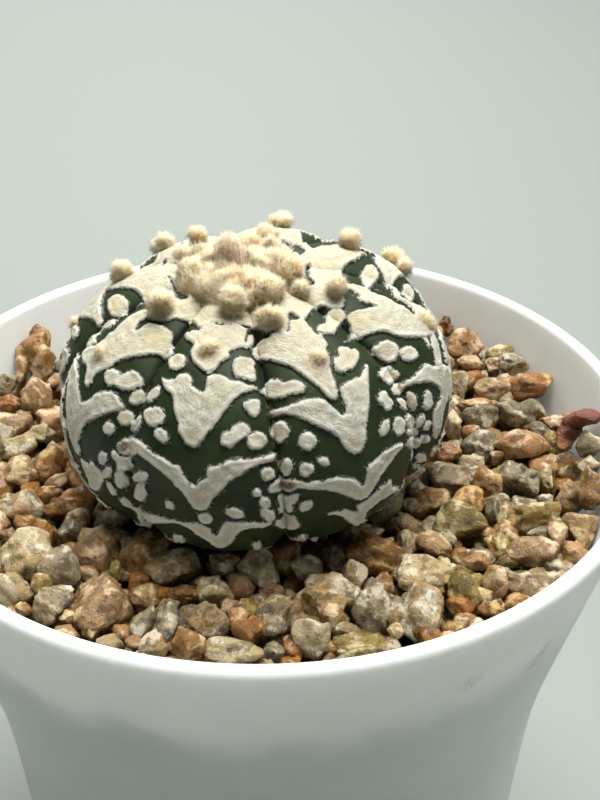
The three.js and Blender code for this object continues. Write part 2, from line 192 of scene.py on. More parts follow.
def add_object(name: str, mesh: Mesh) -> Object:
    """Puts a mesh into the scene as an object at the origin.

    Args:
        name: Name of the object.
        mesh: Its mesh.

    Returns:
        The new object.
    """
    piece = bpy.data.objects.new(name, mesh)
    bpy.context.scene.collection.objects.link(piece)
    return piece


def make_mesh(name: str, points: Array, faces: list, material: Material | None = None) -> Object:
    """Makes a smooth object from points in millimetres.

    Args:
        name: Name of the piece.
        points: Places in millimetres, one row each.
        faces: Corner numbers of each face.
        material: What the piece is made of, if it is known already.

    Returns:
        The new object.
    """
    mesh = bpy.data.meshes.new(name)
    mesh.from_pydata((np.asarray(points) * MM).tolist(), [], faces)
    mesh.update()
    mesh.shade_smooth()
    if material is not None:
        mesh.materials.append(material)
    return add_object(name, mesh)


def give_values(piece: Object, name: str, values: Array) -> None:
    """Stores one number or one vector for each vertex.

    Args:
        piece: The object that gets the attribute.
        name: Name of the attribute.
        values: One row for each vertex.
    """
    if values.ndim == 1:
        layer = piece.data.attributes.new(name, "FLOAT", "POINT")
        layer.data.foreach_set("value", values.astype(np.float32))
    else:
        layer = piece.data.attributes.new(name, "FLOAT_VECTOR", "POINT")
        layer.data.foreach_set("vector", values.astype(np.float32).ravel())


def turns(sides: int) -> Array:
    """Angles of points that are spread evenly round a circle."""
    return np.arange(sides) * 2 * math.pi / sides


def polar(radius: Array | float, angle: Array, height: Array | float) -> Array:
    """Points round the upright axis, one for each radius, angle and height."""
    return np.stack(np.broadcast_arrays(radius * np.cos(angle), radius * np.sin(angle), height), -1)


def ring_faces(rings: int, slices: int) -> list:
    """Faces of a tube of rings that closes on itself sideways.

    Args:
        rings: Number of rings.
        slices: Points in each ring.

    Returns:
        One row of four corners for each face, ring by ring.
    """
    ring, slot = np.meshgrid(np.arange(rings - 1), np.arange(slices), indexing="ij")
    following = (slot + 1) % slices
    low = ring * slices
    high = low + slices
    return np.stack([low + slot, high + slot, high + following, low + following], -1).reshape(-1, 4).tolist()


def capped(rows: Array, start: Array, end: Array) -> tuple[Array, list]:
    """Points and faces of rings that close on a point at either end.

    Args:
        rows: The rings' points, ring by ring.
        start: The point before the first ring.
        end: The point after the last ring.

    Returns:
        All points and the corner numbers of each face.
    """
    rings, sides = rows.shape[:2]
    faces = ring_faces(rings, sides)
    count = rings * sides
    for i in range(sides):
        following = (i + 1) % sides
        faces.append([count, following, i])
        faces.append([count + 1, count - sides + i, count - sides + following])
    return np.vstack([rows.reshape(-1, 3), start, end]), faces


def icosphere(subdivisions: int) -> tuple[Array, Array]:
    """Directions and triangles of an even ball.

    Args:
        subdivisions: How fine the ball is.

    Returns:
        The unit directions and the corner numbers.
    """
    ball = bmesh.new()
    bmesh.ops.create_icosphere(ball, subdivisions=subdivisions, radius=1.0)
    ball.verts.ensure_lookup_table()
    directions = unit(np.array([corner.co[:] for corner in ball.verts]))
    faces = np.array([[corner.index for corner in face.verts] for face in ball.faces])
    ball.free()
    return directions, faces


def point_outwards(piece: Object) -> None:
    """Merges doubled points and turns every face of a closed mesh outwards.

    Args:
        piece: The object whose mesh is mended.
    """
    shape = bmesh.new()
    shape.from_mesh(piece.data)
    bmesh.ops.remove_doubles(shape, verts=shape.verts, dist=1e-7)
    bmesh.ops.recalc_face_normals(shape, faces=shape.faces)
    shape.to_mesh(piece.data)
    shape.free()
    piece.data.update()


def settle(piece: Object, slot: str, *nodes: str) -> Object:
    """Fixes a finished piece to the body and reports it.

    Args:
        piece: The finished object.
        slot: Name of a material slot; not used.
        nodes: Solids that the piece stands for.

    Returns:
        The same object.
    """
    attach(piece, "root")
    if nodes:
        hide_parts(*nodes)
    piece.data.calc_loop_triangles()
    count = len(piece.data.loop_triangles)
    log.info("%s: %d triangles, stands for %s", piece.name, count, ", ".join(nodes) or "-")
    return piece


class Wire:
    """What one socket of a node gives, ready for plain sums."""

    def __init__(self, sketch: "Sketch", socket: NodeSocket) -> None:
        """Takes hold of the socket."""
        self.sketch = sketch
        self.socket = socket

    def sum(self, operation: str, other: object) -> "Wire":
        """Sums this value, or this vector or colour, with another.

        Args:
            operation: Kind of sum.
            other: The other value.

        Returns:
            The result.
        """
        if self.socket.type in ("VALUE", "INT"):
            return self.sketch.maths(operation, self, other)
        return self.sketch.add("ShaderNodeVectorMath", {0: self, 1: other}, operation=operation)[0]

    def __add__(self, other: object) -> "Wire":
        """Adds another value of the same kind."""
        return self.sum("ADD", other)

    def __sub__(self, other: object) -> "Wire":
        """Takes away another value of the same kind."""
        return self.sum("SUBTRACT", other)

    def __mul__(self, factor: object) -> "Wire":
        """Multiplies by a number.

        Args:
            factor: The number.

        Returns:
            The product.
        """
        if self.socket.type in ("VALUE", "INT"):
            return self.sum("MULTIPLY", factor)
        return self.sketch.add("ShaderNodeVectorMath", {0: self, "Scale": factor}, operation="SCALE")[0]


class Outlets:
    """The outputs of one node."""

    def __init__(self, sketch: "Sketch", node: Node) -> None:
        """Takes hold of the node."""
        self.sketch = sketch
        self.node = node

    def __getitem__(self, key: int | str) -> Wire:
        """Returns the output of a name or number."""
        return Wire(self.sketch, self.node.outputs[key])


class Sketch:
    """Adds and wires the nodes of one tree."""

    def __init__(self, tree: NodeTree) -> None:
        """Starts on a tree."""
        self.tree = tree

    def add(self, kind: str, inputs: dict | None = None, **settings: object) -> Outlets:
        """Adds a node.

        Args:
            kind: The node's type.
            inputs: Values, wires or lists of wires for its inputs, by name or number.
            settings: The node's properties.

        Returns:
            The outputs of the new node.
        """
        node = self.tree.nodes.new(kind)
        for key, value in settings.items():
            setattr(node, key, value)
        self.feed(node, inputs or {})
        return Outlets(self, node)

    def feed(self, node: Node, inputs: dict) -> None:
        """Links wires to a node's inputs, and sets the others to plain values.

        Args:
            node: The node.
            inputs: What each input gets, by name or number.
        """
        for key, value in inputs.items():
            for item in value if isinstance(value, list) else [value]:
                if isinstance(item, Wire):
                    self.tree.links.new(item.socket, node.inputs[key])
                else:
                    node.inputs[key].default_value = item

    def leave(self, **outputs: Wire) -> NodeTree:
        """Ends a group with outputs of these names, and returns its tree.

        Args:
            outputs: The wire of each output.

        Returns:
            The finished tree.
        """
        for label, wire in outputs.items():
            kind = "NodeSocketGeometry" if wire.socket.type == "GEOMETRY" else "NodeSocketFloat"
            self.tree.interface.new_socket(label, in_out="OUTPUT", socket_type=kind)
        self.add("NodeGroupOutput", outputs)
        return self.tree

    def maths(self, operation: str, first: object, second: object = 0.0) -> Wire:
        """Returns the result of one sum."""
        return self.add("ShaderNodeMath", {0: first, 1: second}, operation=operation)[0]

    def split(self, vector: Wire) -> Outlets:
        """Returns the three parts of a vector."""
        return self.add("ShaderNodeSeparateXYZ", {0: vector})

    def joined(self, x: object, y: object, z: object) -> Wire:
        """Returns the vector of three parts."""
        return self.add("ShaderNodeCombineXYZ", {0: x, 1: y, 2: z})[0]

    def remap(self, value: object, low: float, high: float, start: float = 0.0, end: float = 1.0) -> Wire:
        """Eases a value from one range into another."""
        ranges = {"Value": value, "From Min": low, "From Max": high, "To Min": start, "To Max": end}
        return self.add("ShaderNodeMapRange", ranges, interpolation_type="SMOOTHSTEP")[0]

    def blend(self, mask: object, first: object, second: object) -> Wire:
        """Returns the first colour where the mask is 0 and the second where it is 1."""
        return self.add("ShaderNodeMix", {0: mask, 6: first, 7: second}, data_type="RGBA")[2]

    def noise(self, vector: object, scale: float, detail: float = 3.0, roughness: float = 0.55) -> Wire:
        """Returns soft noise from 0 to 1."""
        inputs = {"Vector": vector, "Scale": scale, "Detail": detail, "Roughness": roughness}
        return self.add("ShaderNodeTexNoise", inputs)[0]

    def waves(self, vector: object, scale: float, detail: float = 2.0) -> Wire:
        """Returns soft noise with three parts."""
        return self.add("ShaderNodeTexNoise", {"Vector": vector, "Scale": scale, "Detail": detail})[1]

    def cells(self, vector: object, scale: float, output: str = "Distance") -> Wire:
        """Returns one output of a cell pattern."""
        return self.add("ShaderNodeTexVoronoi", {"Vector": vector, "Scale": scale}, feature="F1")[output]

    def attribute(self, name: str, output: str = "Fac") -> Wire:
        """Returns a value stored on the mesh of a material."""
        return self.add("ShaderNodeAttribute", attribute_name=name)[output]

    def place(self) -> Wire:
        """Returns the place on the object."""
        return self.add("ShaderNodeTexCoord")["Object"]

    def stretched(self, vector: Wire, scale: Triple) -> Wire:
        """Returns a place stretched along its axes."""
        return self.add("ShaderNodeMapping", {"Vector": vector, "Scale": scale})[0]

    def bump(self, height: Wire, strength: float, distance: float, normal: Wire | None = None) -> Wire:
        """Returns a normal that follows a height, on top of another one.

        Args:
            height: The height.
            strength: Share of the bump that shows.
            distance: Height of the bump in metres.
            normal: The normal below it, if there is one.

        Returns:
            The normal.
        """
        inputs = {"Height": height, "Strength": strength, "Distance": distance}
        if normal is not None:
            inputs["Normal"] = normal
        return self.add("ShaderNodeBump", inputs)[0]

    def effect(self, tree: NodeTree, vector: Wire, scale: float, seed: float | None = None) -> Outlets:
        """Places a shared effect with its own scale, and its own seed where it has one.

        Args:
            tree: The effect.
            vector: Place on the object.
            scale: Cells to the metre.
            seed: Shifts the pattern.

        Returns:
            The effect's outputs.
        """
        inputs = {"Vector": vector, "Scale": scale}
        if seed is not None:
            inputs["Seed"] = seed
        return self.add("ShaderNodeGroup", inputs, node_tree=tree)

    def position(self) -> Wire:
        """Returns the place of a point of the geometry."""
        return self.add("GeometryNodeInputPosition")[0]

    def stored(self, name: str, kind: str = "FLOAT") -> Wire:
        """Returns a value stored on the geometry."""
        return self.add("GeometryNodeInputNamedAttribute", {"Name": name}, data_type=kind)[0]

    def store(self, geometry: Wire, name: str, value: Wire, domain: str) -> Wire:
        """Returns the geometry with one more stored value."""
        inputs = {"Geometry": geometry, "Name": name, "Value": value}
        return self.add("GeometryNodeStoreNamedAttribute", inputs, data_type="FLOAT", domain=domain)[0]

    def drawn(self, low: object, high: object, seed: Wire) -> Wire:
        """Returns a random value for each copy, or a vector where the bounds are vectors.

        Args:
            low, high: The bounds.
            seed: Chooses the draw.

        Returns:
            The drawn values.
        """
        many = isinstance(low, tuple)
        first = 0 if many else 2
        kind = "FLOAT_VECTOR" if many else "FLOAT"
        inputs = {first: low, first + 1: high, "Seed": seed}
        return self.add("FunctionNodeRandomValue", inputs, data_type=kind)[first // 2]

    def moved(self, geometry: Wire, **places: Wire) -> Wire:
        """Returns the geometry at another Position, or moved by an Offset."""
        return self.add("GeometryNodeSetPosition", {"Geometry": geometry, **places})[0]

    def real(self, geometry: Wire) -> Wire:
        """Returns the geometry with its copies made real."""
        return self.add("GeometryNodeRealizeInstances", {0: geometry})[0]

    def dressed(self, geometry: Wire, material: Wire, smooth: bool = True) -> Wire:
        """Returns the geometry made real and dressed in a material.

        Args:
            geometry: The geometry.
            material: The material.
            smooth: Whether faces are shaded smooth.

        Returns:
            The finished geometry.
        """
        geometry = self.real(geometry)
        if smooth:
            geometry = self.add("GeometryNodeSetShadeSmooth", {"Geometry": geometry})[0]
        return self.add("GeometryNodeSetMaterial", {"Geometry": geometry, "Material": material})[0]


class MaterialSketch(Sketch):
    """The sketch of one new material."""

    def __init__(self, name: str) -> None:
        """Starts the material with its main shader.

        Args:
            name: Name of the material.
        """
        self.material = bpy.data.materials.new(name)
        self.material.use_nodes = True
        super().__init__(self.material.node_tree)

    def finished(self, inputs: dict[str, object]) -> Material:
        """Feeds the main shader and returns the material."""
        self.feed(self.tree.nodes["Principled BSDF"], inputs)
        return self.material


def new_group(name: str, kind: str, inputs: dict[str, str]) -> tuple[Sketch, Outlets]:
    """Starts a node group with named inputs.

    Args:
        name: Name of the group.
        kind: Type of the tree.
        inputs: Kind of each input.

    Returns:
        The sketch of the tree and its inputs by name.
    """
    tree = bpy.data.node_groups.new(name, kind)
    for label, socket in inputs.items():
        tree.interface.new_socket(label, in_out="INPUT", socket_type=f"NodeSocket{socket}")
    sketch = Sketch(tree)
    return sketch, sketch.add("NodeGroupInput")


class SharedEffects:
    """Shader groups that more than one material uses."""

    @cached_property
    def mottle(self) -> NodeTree:
        """Cloudy patches, a fine crumb and hard little flecks.

        Returns:
            The group.
        """
        inputs = {"Vector": "Vector", "Scale": "Float", "Seed": "Float"}
        sketch, given = new_group("mottle", "ShaderNodeTree", inputs)
        place = given["Vector"] * given["Scale"] + sketch.joined(given["Seed"], given["Seed"], 0.0)
        warped = place + sketch.waves(place, 3.0) * 0.6
        return sketch.leave(
            Patches=sketch.remap(sketch.noise(place, 1.0, 4.0, 0.6), 0.32, 0.68),
            Crumb=sketch.remap(sketch.noise(place, 7.0, 3.0, 0.7), 0.25, 0.75),
            Flecks=sketch.remap(sketch.cells(warped, 2.6), 0.16, 0.34, 1.0, 0.0),
        )

    @cached_property
    def crystals(self) -> NodeTree:
        """Angular mineral grains, each with its own level.

        Returns:
            The group.
        """
        inputs = {"Vector": "Vector", "Scale": "Float", "Seed": "Float"}
        sketch, given = new_group("crystals", "ShaderNodeTree", inputs)
        place = given["Vector"] * given["Scale"] + sketch.joined(given["Seed"], 0.0, given["Seed"])
        warped = place + sketch.waves(place, 0.8, 3.0) * 1.6
        return sketch.leave(Grains=sketch.split(sketch.cells(warped, 1.0, "Color"))[0])

    @cached_property
    def fibres(self) -> NodeTree:
        """Long matted streaks with a soft unevenness.

        Returns:
            The group.
        """
        sketch, given = new_group("fibres", "ShaderNodeTree", {"Vector": "Vector", "Scale": "Float"})
        place = given["Vector"] * given["Scale"]
        long = sketch.noise(sketch.stretched(place, (0.22, 1.6, 1.6)), 1.0, 4.0, 0.65)
        short = sketch.noise(sketch.stretched(place, (0.7, 4.5, 4.5)), 1.0, 3.0, 0.7)
        return sketch.leave(
            Streaks=sketch.remap(long * 0.6 + short * 0.4, 0.3, 0.7),
            Matting=sketch.remap(sketch.noise(place, 0.7, 3.0, 0.6), 0.3, 0.7),
        )


EFFECTS = SharedEffects()


def grow(name: str, base: Object, tree: NodeTree, values: dict) -> Object:
    """Runs a geometry tree on an object and keeps the result as a plain mesh.

    Args:
        name: Name of the new piece.
        base: What the tree starts from.
        tree: The geometry tree.
        values: The tree's inputs by name.

    Returns:
        The new piece.
    """
    modifier = base.modifiers.new(tree.name, "NODES")
    modifier.node_group = tree
    for item in tree.interface.items_tree:
        if item.in_out == "INPUT" and item.name in values:
            modifier[item.identifier] = values[item.name]
    evaluated = base.evaluated_get(bpy.context.evaluated_depsgraph_get())
    mesh = bpy.data.meshes.new_from_object(evaluated)
    base.modifiers.remove(modifier)
    mesh.name = name
    return add_object(name, mesh)


class GrowthTrees:
    """Geometry trees for what repeats, or is turned by a rule."""

    @cached_property
    def turned_pot(self) -> NodeTree:
        """Turns a section round the upright axis and drills the drain holes.

        Returns:
            The tree.
        """
        sizes = ("Centre Hole", "Ring Hole", "Ring At", "Hole Height")
        inputs = {"Section": "Geometry", "Section Points": "Int", "Sides": "Int", "Material": "Material"}
        sketch, given = new_group("turned_pot", "GeometryNodeTree", inputs | dict.fromkeys(sizes, "Float"))
        columns = {"Vertices X": given["Sides"] + 1.0, "Vertices Y": given["Section Points"]}
        grid = sketch.add("GeometryNodeMeshGrid", {"Size X": 1.0, "Size Y": 1.0, **columns})[0]
        spot = sketch.split(sketch.position())
        angle = (spot[0] + 0.5) * (2 * math.pi)
        row = sketch.maths("ROUND", (spot[1] + 0.5) * (given["Section Points"] - 1.0))
        source = {"Geometry": given["Section"], "Value": sketch.position(), "Index": row}
        section = sketch.split(sketch.add("GeometryNodeSampleIndex", source, data_type="FLOAT_VECTOR")[0])
        east = section[0] * sketch.maths("COSINE", angle)
        north = section[0] * sketch.maths("SINE", angle)
        wall = sketch.moved(grid, Position=sketch.joined(east, north, section[2]))
        wall = sketch.add("GeometryNodeMergeByDistance", {"Geometry": wall, "Distance": 1e-6})[0]

        def drill(radius: Wire) -> Wire:
            """Returns an upright drill of a radius."""
            inputs = {"Vertices": 48, "Radius": radius, "Depth": given["Hole Height"]}
            return sketch.add("GeometryNodeMeshCylinder", inputs)[0]

        ring = sketch.add("GeometryNodeMeshCircle", {"Vertices": 4, "Radius": given["Ring At"]})[0]
        ring = sketch.add("GeometryNodeTransform", {"Geometry": ring, "Rotation": (0.0, 0.0, math.pi / 4)})[0]
        drills = {"Points": ring, "Instance": drill(given["Ring Hole"])}
        drills = sketch.add("GeometryNodeInstanceOnPoints", drills)[0]
        drills = sketch.add("GeometryNodeJoinGeometry", {0: [drills, drill(given["Centre Hole"])]})[0]
        parts = {"Mesh 1": wall, "Mesh 2": sketch.real(drills)}
        pot = sketch.add("GeometryNodeMeshBoolean", parts, operation="DIFFERENCE", solver="EXACT")[0]
        return sketch.leave(Pot=sketch.dressed(pot, given["Material"]))

    @cached_property
    def hairs(self) -> NodeTree:
        """Plants thin tapering hairs over a surface.

        Returns:
            The tree.
        """
        sizes = ("Density", "Length", "Length Spread", "Width", "Sideways", "Upright", "Sunk")
        inputs = {"Surface": "Geometry", "Seed": "Int", "Material": "Material"}
        sketch, given = new_group("hairs", "GeometryNodeTree", inputs | dict.fromkeys(sizes, "Float"))
        density = given["Density"] * sketch.stored("hair_cover")
        ground = {"Mesh": given["Surface"], "Density": density, "Seed": given["Seed"]}
        scatter = sketch.add("GeometryNodeDistributePointsOnFaces", ground, distribute_method="RANDOM")
        width = sketch.maths("DIVIDE", given["Width"], given["Length"])
        cone = {"Vertices": 3, "Radius Top": 0.0, "Radius Bottom": width, "Depth": 1.0}
        cone = sketch.add("GeometryNodeMeshCone", cone, fill_type="NONE")[0]
        foot = sketch.split(sketch.add("GeometryNodeBoundBox", {0: cone})[1])
        spot = sketch.split(sketch.position())
        along = spot[2] - foot[2]
        hair = sketch.store(cone, "hair_along", along, "POINT")
        hair = sketch.moved(hair, Position=sketch.joined(spot[0], spot[1], along - given["Sunk"]))
        wild = sketch.drawn((-1.0,) * 3, (1.0,) * 3, given["Seed"] + 1.0)
        heading = sketch.stored("hair_comb", "FLOAT_VECTOR") + wild * given["Sideways"]
        heading = heading + scatter["Normal"] * given["Upright"]
        twist = sketch.drawn((0.0,) * 3, (6.28,) * 3, given["Seed"] + 2.0)
        turn = {"Rotation": twist, "Vector": heading}
        turn = sketch.add("FunctionNodeAlignRotationToVector", turn, axis="Z")[0]
        spread = given["Length Spread"]
        size = sketch.drawn(sketch.maths("SUBTRACT", 1.0, spread), spread + 1.0, given["Seed"] + 3.0)
        size = size * given["Length"]
        copies = {"Points": scatter["Points"], "Instance": hair, "Rotation": turn, "Scale": size}
        planted = sketch.add("GeometryNodeInstanceOnPoints", copies)[0]
        return sketch.leave(Hairs=sketch.dressed(planted, given["Material"]))

    @cached_property
    def crumbs(self) -> NodeTree:
        """Strews small uneven stones over a surface.

        Returns:
            The tree.
        """
        sizes = ("Spacing", "Density", "Smallest", "Largest", "Roughness")
        inputs = {"Ground": "Geometry", "Seed": "Int", "Material": "Material"}
        sketch, given = new_group("crumbs", "GeometryNodeTree", inputs | dict.fromkeys(sizes, "Float"))
        ground = {"Mesh": given["Ground"], "Seed": given["Seed"]}
        ground |= {"Distance Min": given["Spacing"], "Density Max": given["Density"]}
        scatter = sketch.add("GeometryNodeDistributePointsOnFaces", ground, distribute_method="POISSON")
        ball = sketch.add("GeometryNodeMeshIcoSphere", {"Radius": 1.0, "Subdivisions": 2})[0]
        size = sketch.drawn((0.7,) * 3, (1.15,) * 3, given["Seed"])
        size = size * sketch.drawn(given["Smallest"], given["Largest"], given["Seed"] + 1.0)
        twist = sketch.drawn((0.0,) * 3, (6.28,) * 3, given["Seed"] + 2.0)
        copies = {"Points": scatter["Points"], "Instance": ball, "Rotation": twist, "Scale": size}
        planted = sketch.add("GeometryNodeInstanceOnPoints", copies)[0]
        toned = sketch.store(planted, "stone_tone", sketch.drawn(0.0, 1.0, given["Seed"] + 3.0), "INSTANCE")
        ragged = sketch.waves(sketch.position(), 900.0) - (0.5, 0.5, 0.5)
        rough = sketch.moved(sketch.real(toned), Offset=ragged * given["Roughness"])
        return sketch.leave(Stones=sketch.dressed(rough, given["Material"], smooth=False))


TREES = GrowthTrees()


@dataclass(frozen=True)
class Viewpoint:
    """Where the photograph was taken from."""

    location: Triple = (4.041, -123.754, 163.614)
    pitch: float = 32.088
    roll: float = 0.135
    lens: float = 54.0
    sensor: float = 36.0
    near: float = 0.005
    stride: float = 0.1

    @property
    def focal(self) -> float:
        """Focal length in pixels."""
        return self.lens / self.sensor * PHOTO_SIZE[1]

    @cached_property
    def turn(self) -> Matrix:
        """The camera's turn in the pot's frame."""
        level = Matrix.Rotation(math.radians(90 - self.pitch), 3, "X")
        return level @ Matrix.Rotation(math.radians(self.roll), 3, "Z")

    def ray(self, pixel: Pixel) -> tuple[Vector, Vector]:
        """Line of sight through a pixel.

        Args:
            pixel: Place in the photograph.

        Returns:
            The eye and the direction, in millimetres.
        """
        width, height = PHOTO_SIZE
        aim = Vector(((pixel[0] - width / 2) / self.focal, (height / 2 - pixel[1]) / self.focal, -1.0))
        return Vector(self.location), (self.turn @ aim).normalized()

    def build(self) -> None:
        """Makes the scene's camera."""
        lens = bpy.data.cameras.new("view")
        lens.lens = self.lens
        lens.sensor_width = self.sensor
        lens.sensor_fit = "AUTO"
        lens.clip_start = self.near
        camera = bpy.data.objects.new("view", lens)
        camera.location = Vector(self.location) * MM
        camera.rotation_euler = self.turn.to_euler()
        bpy.context.scene.collection.objects.link(camera)
        bpy.context.scene.camera = camera


VIEW = Viewpoint()


@dataclass(frozen=True)
class PlasticFinish:
    """Smooth white moulded plastic with a soft gloss and a few scuffs."""

    white: Colour = srgb(241, 246, 246)
    shade: Colour = srgb(220, 227, 226)
    scuff: Colour = srgb(96, 98, 96)
    roughness: float = 0.3
    depth: float = 0.005

    def material(self, scuffs: list[tuple[Triple, float]]) -> Material:
        """Builds the material.

        Args:
            scuffs: Place and radius of each scuffed spot, in millimetres.

        Returns:
            The material.
        """
        sketch = MaterialSketch("pot_plastic")
        place = sketch.place()
        clouds = sketch.effect(EFFECTS.mottle, place, 45.0, 3.0)
        rub = sketch.effect(EFFECTS.mottle, sketch.stretched(place, (1.0, 1.0, 3.0)), 420.0, 8.0)
        marks = sketch.maths("ADD", 0.0, 0.0)
        for spot, size in scuffs:
            ends = {0: place, 1: tuple(value * MM for value in spot)}
            reach = sketch.add("ShaderNodeVectorMath", ends, operation="DISTANCE")["Value"]
            marks = marks + sketch.remap(reach, 0.0, size * MM, 1.0, 0.0)
        mask = marks * sketch.remap(rub["Crumb"], 0.55, 0.75) * 0.8
        waves = clouds["Patches"] + rub["Crumb"] * 0.04
        white = sketch.blend(clouds["Patches"] * 0.5, self.white, self.shade)
        return sketch.finished({
            "Base Color": sketch.blend(mask, white, self.scuff),
            "Roughness": sketch.remap(clouds["Crumb"], 0.0, 1.0, self.roughness, self.roughness + 0.08),
            "IOR": 1.49,
            "Subsurface Weight": 0.55,
            "Subsurface Radius": (1.0, 0.98, 0.9),
            "Subsurface Scale": self.depth,
            "Normal": sketch.bump(waves, 0.08, 0.0004),
        })


@dataclass(frozen=True)
class Pot:
    """The flared pot: a slight taper that bends out into the upper wall, with a rounded lip."""

    height: float = 85.0
    foot_radius: float = 33.5
    wall: float = 1.8
    lower_slope: float = 0.06
    upper_slope: float = 0.25
    bend_height: float = 50.0
    bend_softness: float = 4.0
    foot_height: float = 2.0
    foot_width: float = 3.4
    foot_draft: float = 0.4
    foot_edge: float = 0.8
    floor_thickness: float = 1.8
    floor_fillet: float = 2.0
    lip_steps: int = 14
    wall_steps: int = 40
    sides: int = 144
    drain_centre: float = 4.0
    drain_ring: float = 3.0
    drain_ring_at: float = 19.0
    sharp_angle: float = 50.0
    nearest_sight: float = 60.0
    finish: PlasticFinish = field(default_factory=PlasticFinish)
    # Pixel and radius in millimetres of each scuffed spot.
    scuffs: tuple[tuple[Pixel, float], ...] = (
        ((538.0, 658.0), 2.6), ((545.0, 648.0), 1.8), ((470.0, 683.0), 2.2),
    )

    def spot(self, pixel: Pixel) -> Triple:
        """Place on the outer wall that the photograph shows at a pixel.

        Args:
            pixel: Place in the photograph.

        Returns:
            The place in millimetres.
        """
        eye, aim = VIEW.ray(pixel)
        for step in range(2000):
            place = eye + aim * (self.nearest_sight + step * VIEW.stride)
            if math.hypot(place.x, place.y) < self.radius(place.z):
                break
        return (place.x, place.y, place.z)

    def radius(self, height: Array | float) -> Array | float:
        """Outer radius of the wall at a height."""
        bend = self.bend_softness * np.log1p(np.exp((height - self.bend_height) / self.bend_softness))
        return self.foot_radius + self.lower_slope * height + (self.upper_slope - self.lower_slope) * bend

    def bore(self, height: Array | float) -> Array | float:
        """Inner radius of the wall at a height."""
        return self.radius(height) - self.wall

    def section(self) -> Array:
        """Points of the wall's section from the underside's middle round to the floor's middle.

        Returns:
            Radius and height of each point.
        """
        floor = self.foot_height + self.floor_thickness
        lip_radius = self.wall / 2
        lip_height = self.height - lip_radius
        lip_centre = self.radius(lip_height) - lip_radius
        inside_foot = self.foot_radius - self.foot_width
        points = [
            (0.0, self.foot_height), (inside_foot, self.foot_height), (inside_foot + self.foot_draft, 0.0),
        ]
        turn = np.linspace(-math.pi / 2, 0, 5)
        foot = self.radius(self.foot_edge) - self.foot_edge
        points += [(foot + self.foot_edge * math.cos(a), self.foot_edge * (1 + math.sin(a))) for a in turn]
        levels = np.linspace(self.foot_edge + 1, lip_height - 0.8, self.wall_steps)
        points += [(self.radius(z), z) for z in levels]
        lip = np.linspace(0, math.pi, self.lip_steps + 1)
        points += [
            (lip_centre + lip_radius * math.cos(a), lip_height + lip_radius * math.sin(a)) for a in lip
        ]
        fillet_top = floor + self.floor_fillet
        points += [(self.bore(z), z) for z in levels[::-1] if z > fillet_top]
        curve = np.linspace(0, math.pi / 2, 6)
        radius = self.floor_fillet
        middle = self.bore(fillet_top) - radius
        points += [(middle + radius * math.cos(a), fillet_top - radius * math.sin(a)) for a in curve]
        points.append((0.0, floor))
        return np.array(points)

    def build(self) -> None:
        """Turns the wall, drills it and fixes it in place."""
        section = self.section()
        points = np.column_stack([section[:, 0], np.zeros(len(section)), section[:, 1]])
        base = bpy.data.meshes.new("pot_section")
        base.from_pydata((points * MM).tolist(), [(i, i + 1) for i in range(len(points) - 1)], [])
        outline = add_object("pot_section", base)
        pot = grow(
            "pot_wall", outline, TREES.turned_pot,
            {
                "Section Points": len(section), "Sides": self.sides, "Centre Hole": self.drain_centre * MM,
                "Ring Hole": self.drain_ring * MM, "Ring At": self.drain_ring_at * MM,
                "Hole Height": 4 * self.foot_height * MM,
                "Material": self.finish.material([(self.spot(pixel), size) for pixel, size in self.scuffs]),
            },
        )
        bpy.data.objects.remove(outline)
        point_outwards(pot)
        pot.data.set_sharp_from_angle(angle=math.radians(self.sharp_angle))
        settle(pot, "pot_plastic", "pot")


